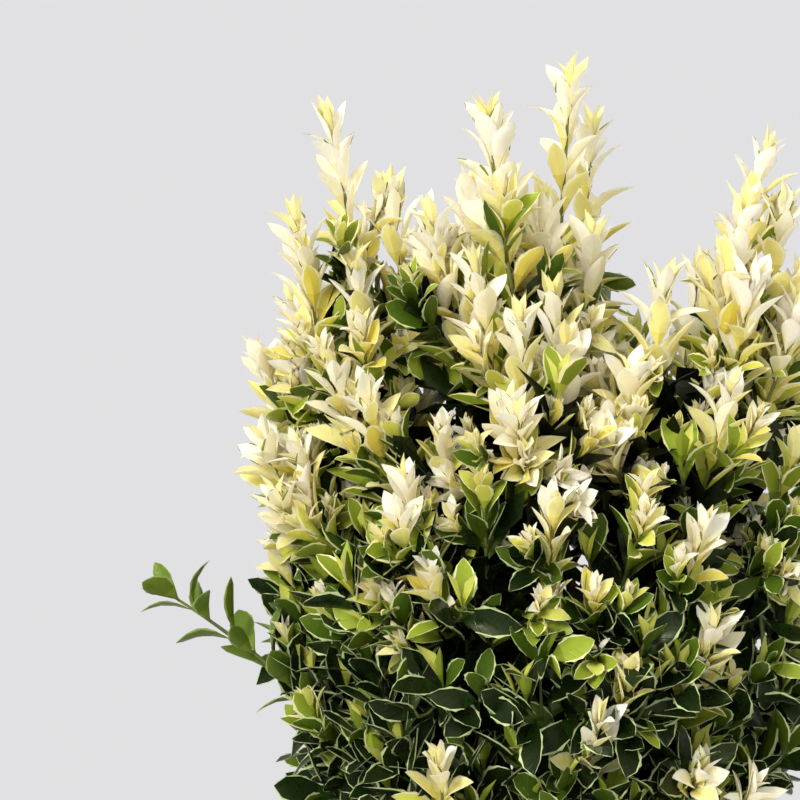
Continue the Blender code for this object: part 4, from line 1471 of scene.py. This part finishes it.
def drill_holes(pot):
    """Drain holes through the floor, with a Boolean each."""
    for index in range(DRAIN_HOLES):
        turn = math.tau * (index + 0.5) / DRAIN_HOLES
        spot = (DRAIN_HOLE_CIRCLE * math.cos(turn), DRAIN_HOLE_CIRCLE * math.sin(turn), POT_FLOOR / 2)
        start_piece()
        bpy.ops.mesh.primitive_cylinder_add(
            vertices=DRAIN_HOLE_SIDES, radius=DRAIN_HOLE_RADIUS, depth=POT_FLOOR * 3, location=spot
        )
        drill = bpy.context.object
        start_piece()
        bpy.context.view_layer.objects.active = pot
        pot.select_set(True)
        hole = pot.modifiers.new("Boolean", "BOOLEAN")
        hole.operation, hole.object, hole.solver = "DIFFERENCE", drill, "EXACT"
        bpy.ops.object.modifier_apply(modifier=hole.name)
        bpy.data.objects.remove(drill, do_unlink=True)


pot = model_pot()
drill_holes(pot)
pot.data.shade_smooth()
pot.data.set_sharp_from_angle(angle=math.radians(POT_CREASE))

# %% [markdown]
# Fired clay is never one colour. It is paler where lime has dried out on it, darker where damp
# sits low, and gritty all over. Fine rings from turning run round it.

# %% Fired clay
DAMP_TO = 0.45
DAMP_MOST = 0.55
BLOOM_MOST = 0.13
RINGS_UP = 2600.0
CLAY = (176, 104, 72)
CLAY_TONES = (linear(174, 101, 68), linear(185, 111, 76))
DAMP_TONE = linear(120, 66, 46)
LIME_TONE = linear(220, 188, 164)


def build_clay():
    finish, tree, shader = plain_finish("fired clay", CLAY)
    blotches = place_group(tree, PATCHES, Scale=16.0, Sharpness=0.2)
    bloom = place_group(tree, PATCHES, Scale=34.0, Sharpness=0.7)
    grit = place_group(tree, GRAIN, Scale=1100.0, Smooth=0.72, Rough=0.95)
    up = add_node(tree, "ShaderNodeSeparateXYZ", {0: object_place(tree)}).outputs["Z"]
    damp = add_range(tree, up, 0.0, POT_HEIGHT * DAMP_TO, DAMP_MOST, 0.0)
    limed = add_math(tree, "MULTIPLY", bloom["Mask"], BLOOM_MOST)
    tone = mix_colours(tree, blotches["Mask"], *CLAY_TONES)
    tone = mix_colours(tree, damp, tone, DAMP_TONE)
    tone = mix_colours(tree, limed, tone, LIME_TONE)
    rings = add_math(tree, "SINE", add_math(tree, "MULTIPLY", up, RINGS_UP))
    cover(tree, shader, grit["Roughness"], add_share(tree, grit["Height"], rings, 0.10), 0.0003, tone)
    return finish


pot.data.materials.append(build_clay())
keep_piece(pot, ["pot"])

# %% [markdown]
# ## The compost
#
# Potting compost is dark, fibrous and lumpy: a mound that dips at the pot's wall, with crumbs,
# bits of bark and short fibres on top. The mound is a grid of rings with its points lifted by
# noise. The crumbs are three small lumps and the bark one flat chip, copied many times.

# %% The mound
SOIL_RINGS = 34
SOIL_SIDES = 96
SOIL_SKIRT = 0.030
SOIL_DRAWN_IN = 0.94
SOIL_RIM_FROM = 0.999
SOIL_SURFACE = 0.010
SOIL_SUNK = 0.0012
SOIL_EDGE_DIP = 0.004
DIP_FROM = 0.72
DIP_WIDTH = 0.28
DIP_POWER = 1.5
LUMP_HEIGHT = 0.00096
LUMPS = 90.0
LUMP_FALL = 0.8
LUMP_FINER = 2.2
LUMP_OCTAVES = 4


def soil_height(x, y):
    """The mound's height over a point, with its lumps."""
    edge = inner_radius(SOIL_TOP - SOIL_EDGE_DIP)
    share = math.hypot(x, y) / edge
    dip = SOIL_EDGE_DIP * max(0.0, (share - DIP_FROM) / DIP_WIDTH) ** DIP_POWER
    lumps = noise.fractal(Vector((x, y, 0.0)) * LUMPS, LUMP_FALL, LUMP_FINER, LUMP_OCTAVES)
    return SOIL_TOP - SOIL_SUNK - dip + LUMP_HEIGHT * lumps


def model_compost():
    start_piece()
    edge = inner_radius(SOIL_TOP - SOIL_EDGE_DIP) - GAP
    bpy.ops.mesh.primitive_circle_add(
        vertices=SOIL_SIDES, radius=edge, location=(0.0, 0.0, SOIL_TOP), fill_type="NOTHING"
    )
    mound = edit_new("compost_mound")
    select_edges(lambda a, b: True)
    for ring in range(SOIL_RINGS - 1):
        extrude_ring(0.0, (SOIL_RINGS - ring - 1) / (SOIL_RINGS - ring), SOIL_TOP)
    bpy.ops.mesh.merge(type="CENTER")
    select_edges(lambda a, b: min(math.hypot(*a.xy), math.hypot(*b.xy)) > edge * SOIL_RIM_FROM)
    extrude_ring(-SOIL_SKIRT, SOIL_DRAWN_IN, 0.0)
    close_piece()
    for point in mound.data.vertices:
        if point.co.z > SOIL_TOP - SOIL_SURFACE:
            point.co.z = soil_height(point.co.x, point.co.y)
    mound.data.shade_smooth()
    return mound


def build_soil_finish(name, dark, light):
    finish, tree, shader = plain_finish(name, dark)
    lumps = place_group(tree, PATCHES, Scale=260.0, Sharpness=0.6)
    grit = place_group(tree, GRAIN, Scale=1500.0, Smooth=0.85, Rough=1.0)
    colour = mix_colours(tree, lumps["Mask"], linear(*dark), linear(*light))
    height = add_share(tree, lumps["Height"], grit["Height"], 0.4)
    cover(tree, shader, grit["Roughness"], height, 0.0012, colour)
    return finish


mound = model_compost()
mound.data.materials.append(build_soil_finish("compost", (34, 26, 20), (66, 50, 38)))
keep_piece(mound, ["compost"])

# %% Crumbs, chips and fibres on the mound
CRUMB_COUNT = 900
CRUMB_SIZES = (0.0007, 0.0022)
CRUMB_SHAPE = (1.0, 0.9, 0.75)
CRUMB_DENTS = 0.34
CRUMB_LEAN = 0.6
CRUMB_STANDS = 0.35
CRUMBS_CLEAR = 0.006
CHIP_COUNT = 110
CHIP_SIZES = (0.0018, 0.0036)
CHIP_SHAPE = (1.6, 0.8, 0.28)
CRUMB_CREASE = 50.0
FIBRE_COUNT = 160
FIBRE_STEPS = 5
FIBRE_REACH = (0.004, 0.011)
FIBRE_ARC = 1.4
FIBRE_ENDS = (0.00022, 0.00010)
FIBRE_LIFT = 0.0005
FIBRE_WAVE = 0.0004
FIBRE_WAVES = 1.3
FIBRES_CLEAR = 0.012


def model_crumb(name, number):
    """A lump from a ball of few faces, its points pushed in and out."""
    start_piece()
    bpy.ops.mesh.primitive_ico_sphere_add(subdivisions=1, radius=1.0)
    crumb = edit_new(name)
    bpy.ops.transform.vertex_random(offset=CRUMB_DENTS, seed=number)
    bpy.ops.object.mode_set(mode="OBJECT")
    arrays = mesh_arrays(crumb.data)
    bpy.data.objects.remove(crumb, do_unlink=True)
    return arrays


def scatter_on_mound(master, count, sizes, shape, luck):
    """Copies of a master all over the mound, each at its own turn and size."""
    copies = []
    edge = inner_radius(SOIL_TOP - SOIL_EDGE_DIP) - CRUMBS_CLEAR
    for _ in range(count):
        radius = edge * math.sqrt(luck.uniform(0.0, 1.0))
        turn = luck.uniform(0.0, math.tau)
        x, y = radius * math.cos(turn), radius * math.sin(turn)
        size = luck.uniform(*sizes)
        spin = Matrix.Rotation(luck.uniform(0.0, math.tau), 3, "Z")
        lean = Matrix.Rotation(luck.uniform(-CRUMB_LEAN, CRUMB_LEAN), 3, "X")
        turned = np.array(spin @ lean) @ np.diag([size * s for s in shape])
        spot = np.array([x, y, soil_height(x, y) + size * shape[2] * CRUMB_STANDS])
        copies.append(master["places"] @ turned.T + spot)
    return np.array(copies)


def lay_fibre(luck):
    """A short curved fibre that lies on the mound."""
    radius = (inner_radius(SOIL_TOP) - FIBRES_CLEAR) * math.sqrt(luck.random())
    turn, heading = luck.uniform(0.0, math.tau), luck.uniform(0.0, math.tau)
    reach, arc = luck.uniform(*FIBRE_REACH), luck.uniform(-FIBRE_ARC, FIBRE_ARC)
    x, y = radius * math.cos(turn), radius * math.sin(turn)
    line = []
    for step in range(FIBRE_STEPS + 1):
        wave = FIBRE_WAVE * math.sin(step * FIBRE_WAVES + turn)
        line.append(Vector((x, y, soil_height(x, y) + FIBRE_LIFT + wave)))
        x += reach / FIBRE_STEPS * math.cos(heading + arc * step / FIBRE_STEPS)
        y += reach / FIBRE_STEPS * math.sin(heading + arc * step / FIBRE_STEPS)
    return tube_arrays(line, tapering(*FIBRE_ENDS, len(line)), 4)


luck = random.Random("crumbs")
crumb_copies = []
for number in range(3):
    master = model_crumb(f"crumb {number}", number + 1)
    copies = scatter_on_mound(master, CRUMB_COUNT // 3, CRUMB_SIZES, CRUMB_SHAPE, luck)
    crumb_copies.append((master, copies))
chip = model_crumb("chip", 7)
crumb_copies.append((chip, scatter_on_mound(chip, CHIP_COUNT, CHIP_SIZES, CHIP_SHAPE, luck)))
crumb_finish = build_soil_finish("crumbs", (44, 33, 24), (92, 70, 50))
keep_piece(join_copies("compost_crumbs", crumb_copies, [crumb_finish], CRUMB_CREASE), ["compost"])

fibre_tubes = [lay_fibre(luck) for _ in range(FIBRE_COUNT)]
fibre_finish = build_soil_finish("fibres", (104, 78, 50), (138, 108, 74))
keep_piece(join_tubes("compost_fibres", fibre_tubes, fibre_finish), ["compost"])

# %% [markdown]
# ## Floor, light and camera
#
# The plant stands on a plain pale floor that runs back out of sight, under one large soft light
# from the left, a broader one from above and an even fill. The low leaves stand in the shade of
# the high ones, as in the view. The camera looks slightly down with a long lens, and its frame
# takes in the upper left of the crown.

# %% The floor
FLOOR_RADIUS = 90.0
FLOOR_SIDES = 64

start_piece()
bpy.ops.mesh.primitive_circle_add(vertices=FLOOR_SIDES, radius=FLOOR_RADIUS, fill_type="NGON")
floor = bpy.context.object
floor.name = "floor"
paint, tree, shader = plain_finish("floor paint", (187, 188, 193))
shader.inputs["Specular IOR Level"].default_value = 0.0
speckle = place_group(tree, GRAIN, Scale=60.0, Smooth=0.85, Rough=0.95)
tree.links.new(speckle["Roughness"], shader.inputs["Roughness"])
floor.data.materials.append(paint)

# %% The light: where each comes from, its strength and its spread in degrees
LIGHTS = {
    "key": ((-0.66, -0.80, 0.62), 3.25, 24.0),
    "top": ((0.15, -0.55, 1.0), 1.4, 110.0),
}
LIGHT_COLOUR = (1.0, 0.985, 0.95)
FILL_COLOUR = (1.0, 0.985, 0.94, 1.0)
FILL_STRENGTH = 0.60
BACKDROP = linear(225, 225, 226)

for name, (comes_from, strength, spread) in LIGHTS.items():
    lamp = bpy.data.lights.new(name, "SUN")
    lamp.energy = strength
    lamp.angle = math.radians(spread)
    lamp.color = LIGHT_COLOUR
    put_in_scene(name, lamp).rotation_euler = Vector(comes_from).to_track_quat("Z", "Y").to_euler()

world = bpy.data.worlds.new("studio")
bpy.context.scene.world = world
world.use_nodes = True
sky = world.node_tree
sky.nodes.clear()
fill = add_node(sky, "ShaderNodeBackground", {"Color": FILL_COLOUR, "Strength": FILL_STRENGTH}).outputs[0]
seen = add_node(sky, "ShaderNodeBackground", {"Color": BACKDROP, "Strength": 1.0}).outputs[0]
by_camera = add_node(sky, "ShaderNodeLightPath").outputs["Is Camera Ray"]
choose = add_node(sky, "ShaderNodeMixShader", {"Fac": by_camera, 1: fill, 2: seen})
add_node(sky, "ShaderNodeOutputWorld", {"Surface": choose.outputs["Shader"]})
bpy.context.scene.view_settings.view_transform = "Standard"

# %% The camera
CAMERA_DISTANCE = 2.2
CAMERA_ELEVATION = 6.0
CAMERA_TARGET = Vector((-0.0725, 0.0, 0.440))
LENS = 198.0
CLIP_END = 100.0

rise = math.radians(CAMERA_ELEVATION)
backward = Vector((0.0, -math.cos(rise), math.sin(rise)))
eye = bpy.data.cameras.new("camera")
eye.lens = LENS
eye.clip_end = CLIP_END
camera = put_in_scene("camera", eye)
camera.location = CAMERA_TARGET + backward * CAMERA_DISTANCE
camera.rotation_euler = backward.to_track_quat("Z", "Y").to_euler()
bpy.context.scene.camera = camera
print("camera at", [round(value, 3) for value in camera.location])

# %% [markdown]
# ## The frame's box
#
# The leaves may stand a little proud of the solids, and no more. The frame's box is printed at
# the end.

# %% Print the frame's box
start_piece()
print("the frame's box", [list(corner) for corner in CAD_BOX])
